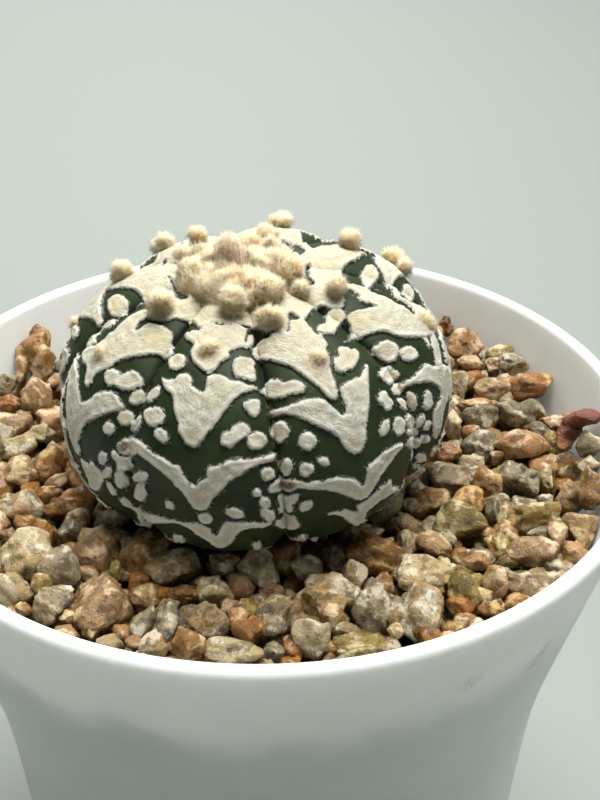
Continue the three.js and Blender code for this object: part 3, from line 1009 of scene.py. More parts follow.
@dataclass(frozen=True)
class StemForm:
    """The plain ribbed form of the stem, the same rule as the solid one's."""

    place: Triple = (-1.5, 2.0, 86.9)
    lean_forward: float = 0.065
    lean_left: float = -0.088
    radius: float = 23.8
    crown_rise: float = 16.2
    underside: float = 14.6
    roundness: float = 2.28
    ribs: int = 8
    first_rib: float = -13.0
    flute_depth: float = 0.9
    flute_shape: float = 2.2
    crease_depth: float = 0.6
    crease_width: float = 0.16
    cleft_depth: float = 0.55
    cleft_width: float = 0.025
    furrow_start: float = 6.0
    furrow_run_out: float = 0.9
    crown_dimple: float = 1.7
    dimple_radius: float = 4.5
    angle_step: float = 0.002

    @cached_property
    def turn(self) -> Array:
        """Turn from the stem's frame to the pot's."""
        lean = Matrix.Rotation(self.lean_left, 3, "Y") @ Matrix.Rotation(self.lean_forward, 3, "X")
        return np.array(lean)

    def to_pot(self, points: Array) -> Array:
        """Moves points from the stem's frame to the pot's."""
        return points @ self.turn.T + np.array(self.place)

    def axis_point(self, height: float) -> Array:
        """Place on the axis of the stem, in the pot's frame."""
        return self.to_pot(np.array([[0.0, 0.0, height]]))[0]

    def meridian(self, psi: Array) -> tuple[Array, Array]:
        """Radius and height of the plain meridian.

        Args:
            psi: Angles from 0 at the crown to pi underneath.

        Returns:
            The radius and the height at each angle.
        """
        power = 2 / self.roundness
        radius = self.radius * np.abs(np.sin(psi)) ** power
        half = np.where(np.cos(psi) >= 0, self.crown_rise, -self.underside)
        dimple = self.crown_dimple * np.exp(-((radius / self.dimple_radius) ** 2))
        return radius, half * np.abs(np.cos(psi)) ** power - np.where(np.cos(psi) > 0, dimple, 0)

    @cached_property
    def table(self) -> tuple[Array, Array]:
        """Angles and the lengths from the crown at which they lie.

        Returns:
            The angles and the lengths.
        """
        psi = np.linspace(0, math.pi, 601)
        radius, height = self.meridian(psi)
        steps = np.hypot(np.diff(radius), np.diff(height))
        return psi, np.concatenate([[0], np.cumsum(steps)])

    def psi_at(self, length: Array | float) -> Array:
        """The angle at a length from the crown."""
        return np.interp(length, self.table[1], self.table[0])

    def across(self, azimuth: Array) -> Array:
        """How far across its rib an azimuth lies, from 0 on the ridge to 1 in the furrow."""
        turn = (azimuth - self.first_rib) / (360 / self.ribs)
        return 2 * np.abs(turn - np.round(turn))

    def furrow(self, length: Array, azimuth: Array) -> Array:
        """Depth of the furrow below the plain meridian.

        Args:
            length: Lengths from the crown.
            azimuth: Directions round the stem.

        Returns:
            The depth at each point.
        """
        psi = self.psi_at(length)
        across = self.across(azimuth)
        depth = self.flute_depth * across**self.flute_shape
        depth = depth + self.crease_depth * np.exp(-(1 - across) / self.crease_width)
        depth = depth + self.cleft_depth * np.exp(-(1 - across) / self.cleft_width)
        from_crown = 1 - np.exp(-length / self.furrow_start)
        return depth * from_crown * np.minimum(1, (math.pi - psi) / self.furrow_run_out)

    def surface(self, length: Array, azimuth: Array, lift: Array | float = 0.0) -> Array:
        """Points of the ribbed stem in the pot's frame.

        Args:
            length: Lengths from the crown.
            azimuth: Directions round the stem.
            lift: How far the points stand off the flesh.

        Returns:
            One row for each point, in millimetres.
        """
        psi = self.psi_at(length)
        radius, height = self.meridian(psi)
        r0, z0 = self.meridian(np.maximum(psi - self.angle_step, 0))
        r1, z1 = self.meridian(np.minimum(psi + self.angle_step, math.pi))
        size = np.maximum(np.hypot(r1 - r0, z1 - z0), 1e-9)
        offset = lift - self.furrow(length, azimuth)
        radial = np.maximum(radius + offset * (z0 - z1) / size, 0)
        angle = np.radians(azimuth)
        upright = height + offset * (r1 - r0) / size
        return self.to_pot(np.stack([radial * np.sin(angle), -radial * np.cos(angle), upright], -1))


class Sight:
    """Finds places on the stem by what the photograph shows at a pixel."""

    def __init__(self, form: StemForm, lift: float) -> None:
        """Readies a coarse stem that stands a little off the flesh.

        Args:
            form: The stem's form.
            lift: How far off the flesh it stands.
        """
        self.lift = lift
        lengths = np.linspace(0.3, 60, 150)
        azimuths = np.arange(0, 360, 1.5)
        length, azimuth = np.meshgrid(lengths, azimuths, indexing="ij")
        points = form.surface(length.ravel(), azimuth.ravel(), lift)
        faces = ring_faces(len(lengths), len(azimuths))
        self.tree = BVHTree.FromPolygons([Vector(p) for p in points], faces)
        self.middle = Vector(form.place)

    def find(self, pixel: Pixel) -> tuple[Array, Array]:
        """Place and outward direction of the surface at a pixel.

        Args:
            pixel: Place in the photograph; beside the stem, the nearest place on its edge is taken.

        Returns:
            The place on the flesh and the direction away from it.
        """
        eye, aim = VIEW.ray(pixel)
        spot, normal, _, _ = self.tree.ray_cast(eye, aim)
        if spot is None:
            best = 1e9
            for reach in np.linspace(90, 190, 101):
                near, side, _, gap = self.tree.find_nearest(eye + aim * float(reach))
                if gap < best:
                    best, spot, normal = gap, near, side
        if normal.dot(spot - self.middle) < 0:
            normal = -normal
        return np.array(spot - normal * self.lift), np.array(normal)


@dataclass(frozen=True)
class Fleck:
    """A small round or oval felt fleck: its middle, half sizes and turn, as the photograph shows it."""

    x: float
    y: float
    long: float
    short: float
    turn: float = 0.0

    def outline(self, dice: Dice) -> Array:
        """A slightly uneven oval of pixels.

        Args:
            dice: Varies its reach.

        Returns:
            The pixels of its outline.
        """
        points = []
        angle = math.radians(self.turn)
        for step in range(12):
            around = step * math.pi / 6
            reach = 1 + dice.spread(0.09)
            along = self.long * reach * math.cos(around)
            aside = self.short * reach * math.sin(around)
            x = self.x + along * math.cos(angle) - aside * math.sin(angle)
            y = self.y - along * math.sin(angle) - aside * math.cos(angle)
            points.append((x, y))
        return np.array(points)


class Tint(Enum):
    """Stains on the felt, by the attribute that holds them."""

    CREAM = "cream"
    TAN = "tan"
    PINK = "pink"
    RUST = "rust"


# Outlines of the large felt patches round the crown, read off the photograph in pixels.
CROWN_PATCHES: dict[str, tuple[int, ...]] = {
    "far_left": (
        109, 287, 104, 292, 101, 305, 103, 318, 102, 325, 98, 328, 96, 323, 92, 319, 86, 318, 79, 319,
        73, 322, 65, 334, 58, 330, 62, 318, 80, 302,
    ),
    "left": (
        150, 310, 145, 309, 131, 315, 117, 329, 108, 335, 102, 342, 95, 347, 83, 351, 82, 361, 88, 369,
        85, 376, 84, 384, 87, 388, 92, 382, 96, 374, 101, 371, 109, 369, 115, 364, 122, 360, 142, 356,
        152, 355, 161, 356, 168, 360, 174, 352, 171, 345, 176, 339, 173, 333, 168, 329, 160, 325, 153, 323,
        146, 324, 134, 333, 137, 325, 142, 320, 150, 318,
    ),
    "front_left": (
        199, 331, 190, 331, 185, 334, 184, 338, 190, 341, 195, 345, 190, 351, 191, 357, 194, 363, 203, 371,
        209, 373, 214, 371, 223, 361, 228, 358, 230, 355, 228, 353, 232, 350, 237, 348, 243, 347, 250, 349,
        248, 345, 245, 342, 247, 331, 250, 327, 244, 325, 226, 325, 220, 326, 213, 323, 207, 322, 202, 326,
    ),
    "front_right": (
        288, 320, 290, 331, 284, 331, 272, 334, 267, 338, 262, 340, 253, 347, 252, 352, 255, 358, 258, 361,
        263, 360, 287, 366, 294, 369, 317, 386, 327, 397, 332, 400, 337, 401, 338, 396, 337, 389, 333, 375,
        330, 368, 331, 362, 329, 355, 326, 350, 328, 346, 327, 343, 322, 338, 323, 334, 320, 333, 317, 336,
        313, 330, 309, 326, 305, 320, 300, 318,
    ),
    "right": (
        345, 284, 348, 290, 362, 303, 374, 306, 356, 310, 349, 314, 346, 320, 352, 335, 347, 341, 345, 346,
        354, 338, 384, 330, 395, 336, 402, 338, 410, 337, 418, 338, 432, 337, 437, 331, 434, 322, 430, 314,
        424, 309, 415, 306, 402, 298, 388, 286, 392, 294, 399, 301, 406, 305, 411, 311, 413, 315, 406, 309,
        398, 304, 391, 301, 384, 296, 376, 294, 366, 289, 357, 286,
    ),
    "crown": (
        118, 276, 148, 262, 158, 250, 170, 244, 185, 240, 205, 232, 225, 232, 250, 226, 270, 219, 290, 218,
        303, 228, 312, 248, 330, 247, 345, 244, 364, 255, 400, 268, 410, 275, 396, 279, 392, 289, 380, 290,
        366, 289, 357, 286, 346, 284, 343, 292, 345, 303, 345, 309, 331, 310, 324, 307, 316, 309, 310, 313,
        305, 320, 298, 319, 288, 322, 288, 331, 276, 334, 265, 331, 258, 328, 250, 327, 244, 325, 226, 325,
        207, 322, 200, 331, 191, 323, 184, 320, 176, 319, 160, 322, 150, 320, 146, 316, 149, 311, 148, 306,
        142, 297, 136, 291, 130, 288, 120, 288, 111, 290, 106, 290,
    ),
}

# Bare green gaps in those patches.
CROWN_GAPS: dict[str, tuple[int, ...]] = {
    "left_wedge": (168, 276, 172, 280, 176, 287, 190, 298, 184, 300, 176, 299, 172, 285),
    "far_left_notch": (144, 261, 150, 256, 158, 251, 158, 263, 150, 265, 142, 269),
    "far_left_slit": (159, 267, 162, 264, 167, 258, 166, 264, 163, 268, 152, 268),
    "back_left": (176, 250, 181, 243, 183, 245, 182, 250, 187, 254, 182, 253),
    "back_sliver": (236, 241, 243, 237, 248, 234, 246, 238, 241, 241),
    "back_middle": (
        279, 239, 292, 245, 299, 246, 303, 249, 308, 250, 300, 257, 298, 253, 293, 252, 291, 256, 289, 252,
        285, 250, 280, 252, 282, 247,
    ),
    "back_right": (299, 227, 306, 230, 321, 241, 330, 243, 322, 247, 308, 251),
    "right_cleft": (
        305, 265, 311, 264, 309, 271, 309, 276, 316, 284, 311, 287, 305, 287, 300, 290, 294, 290, 300, 286,
        304, 280, 306, 273,
    ),
    "front_cleft": (288, 313, 292, 313, 297, 316, 301, 320, 293, 320, 288, 322),
    "right_window": (
        341, 272, 346, 264, 357, 260, 364, 254, 374, 257, 376, 265, 387, 283, 387, 290, 378, 289, 370, 290,
        351, 284, 344, 283, 342, 278,
    ),
    "right_channel": (
        367, 289, 376, 295, 384, 296, 391, 301, 406, 309, 415, 317, 414, 311, 409, 306, 402, 301, 394, 298,
        383, 289,
    ),
    "far_right_window": (
        392, 285, 396, 279, 403, 276, 409, 276, 413, 279, 411, 282, 418, 293, 423, 298, 425, 303, 424, 309,
        418, 307, 412, 302, 405, 301, 400, 298,
    ),
    "right_slit": (
        344, 301, 347, 308, 355, 308, 362, 306, 368, 303, 373, 304, 378, 307, 368, 308, 347, 314, 344, 309,
    ),
    "right_nick": (348, 288, 355, 291, 361, 298, 355, 296, 349, 292),
    "front_slit": (239, 324, 246, 325, 250, 329, 244, 329),
}

# Outlines of the chevrons and of the other larger marks.
FELT_MARKS: dict[str, tuple[int, ...]] = {
    "upper_chevron_left": (
        161, 379, 163, 378, 168, 380, 174, 380, 177, 376, 181, 373, 186, 373, 190, 376, 193, 380, 191, 385,
        194, 388, 198, 390, 202, 394, 205, 390, 206, 378, 209, 375, 222, 374, 231, 382, 236, 381, 241, 382,
        246, 385, 259, 387, 259, 390, 245, 392, 233, 400, 227, 410, 222, 414, 220, 419, 216, 425, 202, 440,
        200, 445, 194, 448, 189, 446, 184, 442, 181, 437, 177, 427, 179, 423, 175, 419, 173, 398, 171, 393,
        166, 391, 163, 386,
    ),
    "middle_chevron_left": (
        129, 436, 141, 441, 156, 455, 162, 457, 173, 465, 179, 466, 186, 480, 195, 488, 199, 481, 208, 478,
        206, 472, 210, 466, 217, 466, 229, 460, 235, 460, 240, 458, 244, 460, 260, 457, 274, 452, 277, 456,
        274, 460, 268, 463, 260, 464, 246, 470, 242, 475, 234, 478, 228, 483, 222, 491, 214, 497, 211, 504,
        206, 510, 199, 511, 193, 508, 188, 502, 185, 495, 166, 475, 150, 462, 143, 458, 137, 453, 132, 446,
    ),
    "lower_chevron_left": (
        118, 500, 124, 495, 129, 499, 133, 504, 140, 508, 150, 512, 195, 522, 209, 527, 216, 538, 221, 526,
        225, 523, 232, 521, 256, 522, 272, 520, 272, 525, 244, 528, 236, 536, 234, 541, 230, 545, 225, 547,
        218, 547, 212, 544, 206, 539, 198, 535, 193, 530, 188, 527, 170, 520, 144, 516, 145, 522, 154, 529,
        148, 531, 142, 526, 139, 519, 138, 512, 130, 507, 124, 505,
    ),
    "upper_chevron_right": (
        270, 410, 280, 409, 288, 407, 291, 404, 300, 402, 308, 399, 316, 398, 324, 399, 336, 411, 344, 417,
        346, 409, 344, 400, 340, 392, 341, 385, 355, 378, 361, 377, 367, 361, 369, 372, 368, 380, 370, 395,
        366, 438, 364, 449, 357, 455, 350, 453, 344, 448, 340, 440, 334, 433, 316, 426, 296, 416, 287, 414,
        278, 415, 271, 417,
    ),
    "middle_chevron_right": (
        290, 481, 300, 480, 309, 483, 316, 480, 322, 482, 330, 478, 345, 477, 352, 478, 358, 482, 363, 488,
        367, 473, 366, 469, 370, 464, 378, 459, 381, 454, 388, 449, 399, 443, 403, 444, 402, 448, 397, 453,
        393, 460, 384, 470, 368, 497, 363, 500, 356, 501, 352, 497, 330, 490, 322, 490, 304, 488, 294, 488,
    ),
    "lower_chevron_right": (
        324, 517, 326, 515, 332, 512, 340, 510, 350, 509, 354, 512, 357, 513, 358, 508, 354, 505, 368, 500,
        384, 484, 390, 480, 393, 482, 390, 487, 395, 488, 401, 486, 411, 477, 414, 481, 410, 485, 390, 494,
        378, 502, 372, 508, 367, 510, 366, 516, 362, 521, 356, 525, 350, 523, 346, 519, 341, 516, 335, 514,
        331, 514,
    ),
    "upper_chevron_far_left": (
        76, 352, 79, 355, 80, 370, 79, 404, 90, 400, 95, 394, 100, 393, 104, 391, 115, 392, 123, 404,
        127, 408, 119, 411, 110, 412, 105, 415, 98, 417, 93, 420, 88, 421, 84, 426, 78, 440, 82, 457,
        78, 454, 74, 447, 68, 428, 67, 415, 69, 385, 71, 370,
    ),
    "lower_chevron_far_left": (
        80, 456, 84, 460, 88, 466, 91, 461, 94, 463, 96, 469, 100, 470, 103, 476, 104, 481, 101, 484,
        101, 489, 97, 491, 93, 489, 90, 484,
    ),
    "left_limb_upper": (64, 349, 69, 349, 69, 356, 67, 365, 64, 372, 60, 378, 58, 372, 60, 360),
    "left_limb_lower": (
        56, 382, 60, 382, 61, 392, 58, 410, 68, 428, 66, 429, 60, 423, 60, 432, 58, 438, 55, 425, 53, 405,
    ),
    "upper_chevron_far_right": (
        402, 383, 406, 380, 411, 378, 420, 371, 421, 366, 425, 364, 429, 364, 432, 367, 437, 366, 441, 364,
        446, 366, 450, 374, 450, 386, 447, 400, 443, 410, 438, 437, 435, 441, 432, 433, 432, 420, 434, 408,
        442, 395, 440, 388, 434, 384, 428, 382, 413, 384, 403, 388,
    ),
    "right_limb_band": (430, 334, 434, 334, 443, 364, 436, 367, 435, 358, 431, 342),
    "right_limb_edge": (438, 330, 442, 336, 446, 348, 449, 362, 446, 366, 440, 340),
    "right_limb_dash": (424, 337, 427, 339, 431, 348, 429, 350, 426, 344),
    "pair_left": (
        104, 377, 106, 372, 110, 369, 116, 369, 120, 372, 121, 376, 126, 372, 131, 370, 136, 371, 141, 376,
        145, 383, 144, 386, 139, 387, 135, 389, 127, 391, 119, 389, 114, 386, 110, 387, 106, 384,
    ),
    "pair_front_left": (
        220, 441, 221, 435, 225, 432, 229, 432, 232, 427, 238, 423, 243, 422, 251, 428, 249, 433, 245, 438,
        235, 444, 231, 449, 228, 448, 226, 445, 221, 445,
    ),
    "pair_front_right": (
        260, 391, 268, 381, 274, 379, 280, 380, 283, 384, 288, 381, 295, 380, 301, 381, 305, 386, 306, 389,
        303, 393, 296, 395, 289, 394, 286, 398, 272, 400, 262, 394,
    ),
    "big_front": (
        232, 363, 236, 358, 243, 356, 256, 361, 254, 368, 256, 376, 256, 381, 250, 381, 237, 378, 233, 374,
    ),
    "five_sided": (242, 407, 246, 400, 259, 399, 261, 404, 260, 411, 257, 417, 253, 419),
    "two_lobed": (
        316, 330, 318, 326, 321, 324, 326, 324, 325, 318, 327, 313, 332, 309, 343, 310, 346, 315, 345, 320,
        338, 326, 334, 336, 324, 333, 319, 333,
    ),
    "crescent": (
        337, 350, 341, 346, 347, 347, 351, 350, 355, 349, 359, 352, 359, 358, 356, 365, 352, 371, 348, 369,
        345, 374, 339, 373, 334, 368, 333, 361, 335, 357, 340, 357,
    ),
    "big_right": (
        370, 352, 372, 348, 377, 345, 381, 341, 392, 340, 399, 348, 399, 353, 396, 359, 391, 364, 386, 363,
        375, 357,
    ),
    "window_fleck": (
        361, 273, 366, 266, 370, 264, 376, 268, 380, 279, 374, 283, 371, 288, 367, 291, 362, 286,
    ),
    "cream_scab": (377, 377, 381, 370, 386, 366, 391, 366, 392, 369, 398, 371, 401, 377, 392, 383, 391, 387),
    "cream_scab_lower": (391, 390, 393, 384, 400, 383, 405, 385, 404, 390, 399, 397, 394, 395),
    "bent_right": (
        377, 399, 379, 393, 383, 390, 387, 392, 388, 397, 391, 400, 393, 405, 390, 411, 385, 410, 382, 405,
        378, 402,
    ),
    "wedge_right": (420, 407, 424, 401, 424, 394, 427, 389, 431, 393, 433, 400, 433, 405, 430, 410, 424, 410),
    "butterfly": (
        276, 498, 279, 494, 284, 496, 287, 496, 291, 494, 297, 493, 300, 494, 299, 499, 296, 504, 292, 504,
        293, 510, 290, 513, 286, 510, 281, 513, 278, 511, 280, 504,
    ),
    "furrow_scab": (
        267, 489, 271, 484, 276, 480, 292, 479, 300, 481, 300, 486, 294, 491, 286, 492, 277, 491, 271, 494,
    ),
    "furrow_scab_low": (
        273, 521, 280, 520, 284, 514, 290, 514, 297, 517, 302, 526, 295, 529, 286, 529, 278, 527,
    ),
    "left_scab": (117, 445, 122, 440, 128, 438, 134, 442, 139, 447, 138, 454, 132, 457, 121, 454, 117, 450),
    "left_stack": (
        111, 454, 113, 450, 117, 452, 120, 455, 126, 456, 134, 463, 132, 469, 128, 471, 124, 468, 126, 473,
        126, 482, 123, 489, 118, 488, 114, 482, 115, 472, 118, 468, 116, 461, 112, 458,
    ),
    "low_bar": (286, 543, 290, 539, 301, 533, 307, 535, 306, 540, 298, 541, 291, 546),
}

FLECKS: tuple[tuple[float, ...], ...] = (
    (117.5, 306.5, 11.5, 11.5), (108, 325.5, 10, 2.6, 33), (92, 341, 8, 3, 66), (75, 332.5, 7, 3.7, 80),
    (137, 398, 9.5, 7, 40), (153, 394.5, 10, 4.5, 55), (126, 418, 9, 8), (137, 424.5, 10, 4, 65),
    (154, 417, 11, 10), (109, 428.5, 6.5, 6.5), (161, 435.5, 9, 6, -50), (177, 362, 10, 8, 45),
    (250, 341.5, 7, 3.8, 85), (257, 440.5, 10.5, 9.5, 20), (280, 432.5, 11.5, 9, 80), (308, 441.5, 10, 9.5),
    (267.5, 474, 7.5, 7), (286.5, 467, 9, 6.5, 80), (306, 469.5, 7.5, 7), (323.5, 461.5, 6.5, 4, -15),
    (408.5, 354, 10, 7.5), (385, 428, 9.5, 4.5, 75), (399, 426, 10, 6, 95), (410, 421, 7.5, 4, -75),
    (412.5, 432, 6, 4.5), (420, 420.5, 8, 4, 60), (427, 426, 6, 3.5, 60), (413.5, 443, 7, 6),
    (420.5, 457, 5.5, 5.5), (424.5, 439, 5.5, 4.5), (414, 465, 4, 2.2, 80), (419, 468, 4, 2, -70),
    (402, 404.5, 8.5, 3.2, -55), (411.5, 401, 11, 5, -75), (306, 506, 8, 5, 30), (265, 502.5, 6.5, 6),
    (267.5, 514, 9, 6, -35), (257, 493, 5, 5), (169.5, 505, 5.5, 3.8, -35), (235, 512.5, 10, 5.5, -10),
    (205, 518.5, 8, 5.5, -30), (179, 538, 7, 3, -25), (102.5, 458, 7, 4.5, -80), (107, 472, 7, 5, 70),
    (127.5, 482, 9, 2.4, 88), (141, 477, 7, 5.5), (141, 492, 9.5, 6, -85), (111.5, 488, 8.5, 3, -55),
    (385, 515.5, 5, 2.5, 30), (417.5, 490, 5, 2.5, 75), (257, 545, 5, 4), (314.5, 541, 4.5, 3.5),
    (408.5, 293, 9, 4.5, -70), (433, 452, 5, 1.8, 80), (430, 466, 5, 1.5, 70), (247, 243.5, 3, 1.5),
    (76, 466, 7, 1.3, -52),
)

STAINS: dict[Tint, tuple[tuple[float, ...], ...]] = {
    Tint.PINK: (
        (103, 355, 10, 0.75), (317, 362, 12, 0.9), (199, 499, 10, 0.35), (287, 519, 8, 0.5),
        (126, 499, 6, 0.5), (133, 450, 6, 0.6), (422, 443, 6, 0.5),
    ),
    Tint.TAN: (
        (208, 352, 12, 0.9), (193, 437, 11, 0.35), (353, 441, 11, 0.4), (281, 388, 9, 0.35),
        (246, 362, 7, 0.35), (387, 350, 7, 0.4), (137, 395, 6, 0.4), (425, 325, 12, 0.6), (408, 294, 5, 0.4),
    ),
    Tint.CREAM: (
        (157, 338, 12, 0.6), (358, 318, 12, 0.6), (130, 378, 9, 0.35), (335, 320, 9, 0.5),
        (347, 358, 10, 0.45), (370, 276, 9, 0.6), (117, 306, 9, 0.6), (257, 441, 8, 0.6), (125, 417, 7, 0.8),
        (267, 474, 6, 0.5), (286, 467, 6, 0.5), (280, 433, 8, 0.4), (178, 363, 8, 0.4), (410, 421, 5, 0.8),
        (395, 377, 9, 0.7), (398, 390, 7, 0.8), (411, 400, 6, 0.6),
    ),
    Tint.RUST: (
        (123, 446, 6, 1.0), (132, 455, 4, 0.9), (283, 485, 7, 1.0), (291, 485, 5, 0.9), (424, 437, 4, 0.7),
        (396, 386, 4, 0.7),
    ),
}


@dataclass(frozen=True)
class SkinFinish:
    """Dark waxy green flesh under raised, matted white felt."""

    green: Colour = srgb(42, 55, 31)
    deep_green: Colour = srgb(29, 40, 24)
    olive: Colour = srgb(54, 64, 30)
    shadow: Colour = srgb(12, 17, 12)
    felt: Colour = srgb(232, 232, 222)
    # felt_shade is painted shade over the matted folds, and the darker tone of the felt's streaks and crumbs.
    felt_shade: Colour = srgb(170, 168, 150)
    felt_core: Colour = srgb(210, 207, 192)
    cream: Colour = srgb(206, 194, 158)
    tan: Colour = srgb(172, 152, 116)
    pink: Colour = srgb(184, 160, 138)
    rust: Colour = srgb(110, 72, 34)
    scurf: Colour = srgb(150, 138, 112)

    def material(self) -> Material:
        """Builds the material.

        Returns:
            The material.
        """
        sketch = MaterialSketch("cactus_skin")
        place = sketch.place()
        flow = sketch.attribute("felt_flow", "Vector")
        fibres = sketch.effect(EFFECTS.fibres, flow, 4.5)
        fine = sketch.effect(EFFECTS.fibres, flow, 11.0)
        mottle = sketch.effect(EFFECTS.mottle, place, 260.0, 5.0)
        crumb = sketch.effect(EFFECTS.mottle, place, 1500.0, 9.0)
        ragged = (sketch.noise(place, 2100.0, 2.0, 0.6) - 0.5) * 0.5 + (fine["Streaks"] - 0.5) * 0.17
        distance = sketch.attribute("felt_edge")
        edge = distance + ragged
        felt = sketch.remap(edge, -0.02, 0.03)
        streaks = fibres["Streaks"] + fine["Streaks"]
        relief = (streaks + fibres["Matting"] * 2.6 + crumb["Crumb"] * 0.4) * felt
        normal = sketch.bump(relief + crumb["Crumb"] * 0.2, 0.45, 0.0001)
        green = self.flesh(sketch, mottle, crumb, edge, ragged)
        white = self.wool(sketch, mottle, crumb, fibres, streaks, distance)
        return sketch.finished({
            "Base Color": sketch.blend(felt, green, white),
            "Roughness": sketch.remap(felt, 0.0, 1.0, 0.48, 0.95),
            "Specular IOR Level": 0.18,
            "Normal": sketch.bump(felt, 0.8, 0.0002, normal),
        })

    def flesh(self, sketch: Sketch, mottle: Outlets, crumb: Outlets, edge: Wire, ragged: Wire) -> Wire:
        """Colours the green flesh, dark beside the felt and in the furrows, where scurf lies.

        Args:
            sketch: The material's sketch.
            mottle, crumb: Coarse and fine patches.
            edge: Distance from the felt.
            ragged: Unevenness of that distance.

        Returns:
            The colour.
        """
        green = sketch.blend(mottle["Patches"], self.deep_green, self.green)
        green = sketch.blend(crumb["Crumb"] * 0.2, green, self.olive)
        green = sketch.blend(sketch.remap(edge, -0.3, -0.02, 0.0, 0.6), green, self.shadow)
        crease = sketch.attribute("crease")
        line = sketch.remap(crease + ragged * 0.4, 0.07, 0.2, 1.0, 0.0)
        shaded = sketch.maths("MAXIMUM", sketch.remap(crease, 0.1, 0.9, 0.45, 0.0), line)
        green = sketch.blend(shaded * sketch.attribute("furrow"), green, self.shadow)
        scurf = sketch.attribute("scurf") * sketch.remap(crumb["Patches"], 0.5, 0.7)
        return sketch.blend(scurf, green, self.scurf)

    def wool(
        self, sketch: Sketch, mottle: Outlets, crumb: Outlets, fibres: Outlets, streaks: Wire, distance: Wire
    ) -> Wire:
        """Colours the matted felt: darker and creamier in its middle, with painted shade over the folds of
        its matting, and stained by the tints.

        Args:
            sketch: The material's sketch.
            mottle, crumb: Coarse and fine patches.
            fibres, streaks: The matted fibres.
            distance: Distance inside the felt.

        Returns:
            The colour.
        """
        inner = sketch.remap(distance, 0.15, 0.9, 0.1, 1.0)
        core = sketch.remap(mottle["Patches"], 0.2, 0.8, 0.25, 1.0) * inner
        white = sketch.blend(core, self.felt, self.felt_core)
        # Painted shade over the folds of the matting, strongest in the felt's middle.
        white = sketch.blend(fibres["Matting"] * inner * 0.8, white, self.felt_shade)
        white = sketch.blend(streaks * 0.3, white, self.felt_shade)
        white = sketch.blend(sketch.remap(crumb["Crumb"], 0.0, 0.35, 0.12, 0.0), white, self.felt_shade)
        uneven = sketch.remap(mottle["Crumb"], 0.0, 1.0, 0.5, 1.2)
        for tint in Tint:
            amount = sketch.maths("MINIMUM", sketch.attribute(tint.value) * uneven, 1.0)
            white = sketch.blend(amount, white, getattr(self, tint.value))
        return white


@dataclass(frozen=True)
class FuzzFinish:
    """Fine hairs, from their roots to their tips."""

    name: str
    root: Colour
    tip: Colour
    gold: Colour = srgb(196, 160, 104)
    pink: Colour = srgb(160, 128, 110)

    def material(self) -> Material:
        """Builds the material.

        Returns:
            The material.
        """
        sketch = MaterialSketch(self.name)
        tufted = sketch.effect(EFFECTS.mottle, sketch.place(), 900.0, 2.0)
        along = sketch.remap(sketch.attribute("hair_along"), 0.05, 0.9)
        shade = sketch.blend(along, self.root, self.tip)
        golden = sketch.blend(along, sketch.blend(0.5, self.gold, self.root), self.tip)
        golden = sketch.blend(sketch.remap(along, 0.3, 1.0, 0.0, 0.5), self.gold, golden)
        warm = sketch.attribute("wool_gold") * sketch.remap(along, 0.0, 1.0, 1.0, 0.55)
        shade = sketch.blend(warm, shade, golden)
        shade = sketch.blend(sketch.attribute("wool_pink"), shade, self.pink)
        return sketch.finished({
            "Base Color": sketch.blend(tufted["Crumb"] * 0.3, shade, self.root),
            "Roughness": 0.9,
            "Specular IOR Level": 0.2,
            "Subsurface Weight": 0.25,
            "Subsurface Radius": (1.0, 0.85, 0.6),
            "Subsurface Scale": 0.0008,
            "Normal": sketch.bump(tufted["Crumb"], 0.3, 0.0001),
        })


@dataclass(frozen=True)
class RootFinish:
    """The corky brown skin of the root."""

    cork: Colour = srgb(150, 118, 78)
    brown: Colour = srgb(104, 76, 48)

    def material(self) -> Material:
        """Builds the material.

        Returns:
            The material.
        """
        sketch = MaterialSketch("root_bark")
        rough = sketch.effect(EFFECTS.mottle, sketch.place(), 500.0, 1.0)
        return sketch.finished({
            "Base Color": sketch.blend(rough["Patches"], self.cork, self.brown),
            "Roughness": 0.9,
            "Normal": sketch.bump(rough["Crumb"], 0.5, 0.0004),
        })


class FeltField:
    """Signed distances from the edges of the felt, over the points of the skin."""

    def __init__(self, points: Array, normals: Array) -> None:
        """Starts with a bare skin.

        Args:
            points: The skin's points.
            normals: Its directions.
        """
        self.points = points
        self.normals = normals
        self.edge = np.full(len(points), -2.0)

    def reach(self, outline: Array, normals: Array) -> tuple[Array, Array]:
        """Signed distance from one mark's outline for the points near it.

        Args:
            outline: The mark's outline on the skin.
            normals: The skin's directions along it.

        Returns:
            The numbers of the near points, and their distances.
        """
        middle = outline.mean(axis=0)
        up = unit(normals.mean(axis=0))
        side = unit(np.cross(up, [0.3, 0.2, 0.93]))
        flat = np.stack([side, np.cross(up, side)], axis=1)
        size = np.linalg.norm(outline - middle, axis=1).max() + 2.5
        offset = self.points - middle
        near = np.where((np.einsum("ij,ij->i", offset, offset) < size * size) & (self.normals @ up > 0.05))[0]
        return near, inside_distance(offset[near] @ flat, rounded((outline - middle) @ flat))

    def add(self, outline: Array, normals: Array) -> None:
        """Covers a mark with felt."""
        near, distance = self.reach(outline, normals)
        self.edge[near] = np.maximum(self.edge[near], distance)

    def cut(self, outline: Array, normals: Array) -> None:
        """Bares a gap."""
        near, distance = self.reach(outline, normals)
        self.edge[near] = np.minimum(self.edge[near], -distance)


@dataclass(frozen=True)
class Chevron:
    """One chevron of the plain pattern: its lower edge at the furrow and ridge, and its widths there."""

    furrow: float
    apex: float
    thick: float
    end: float


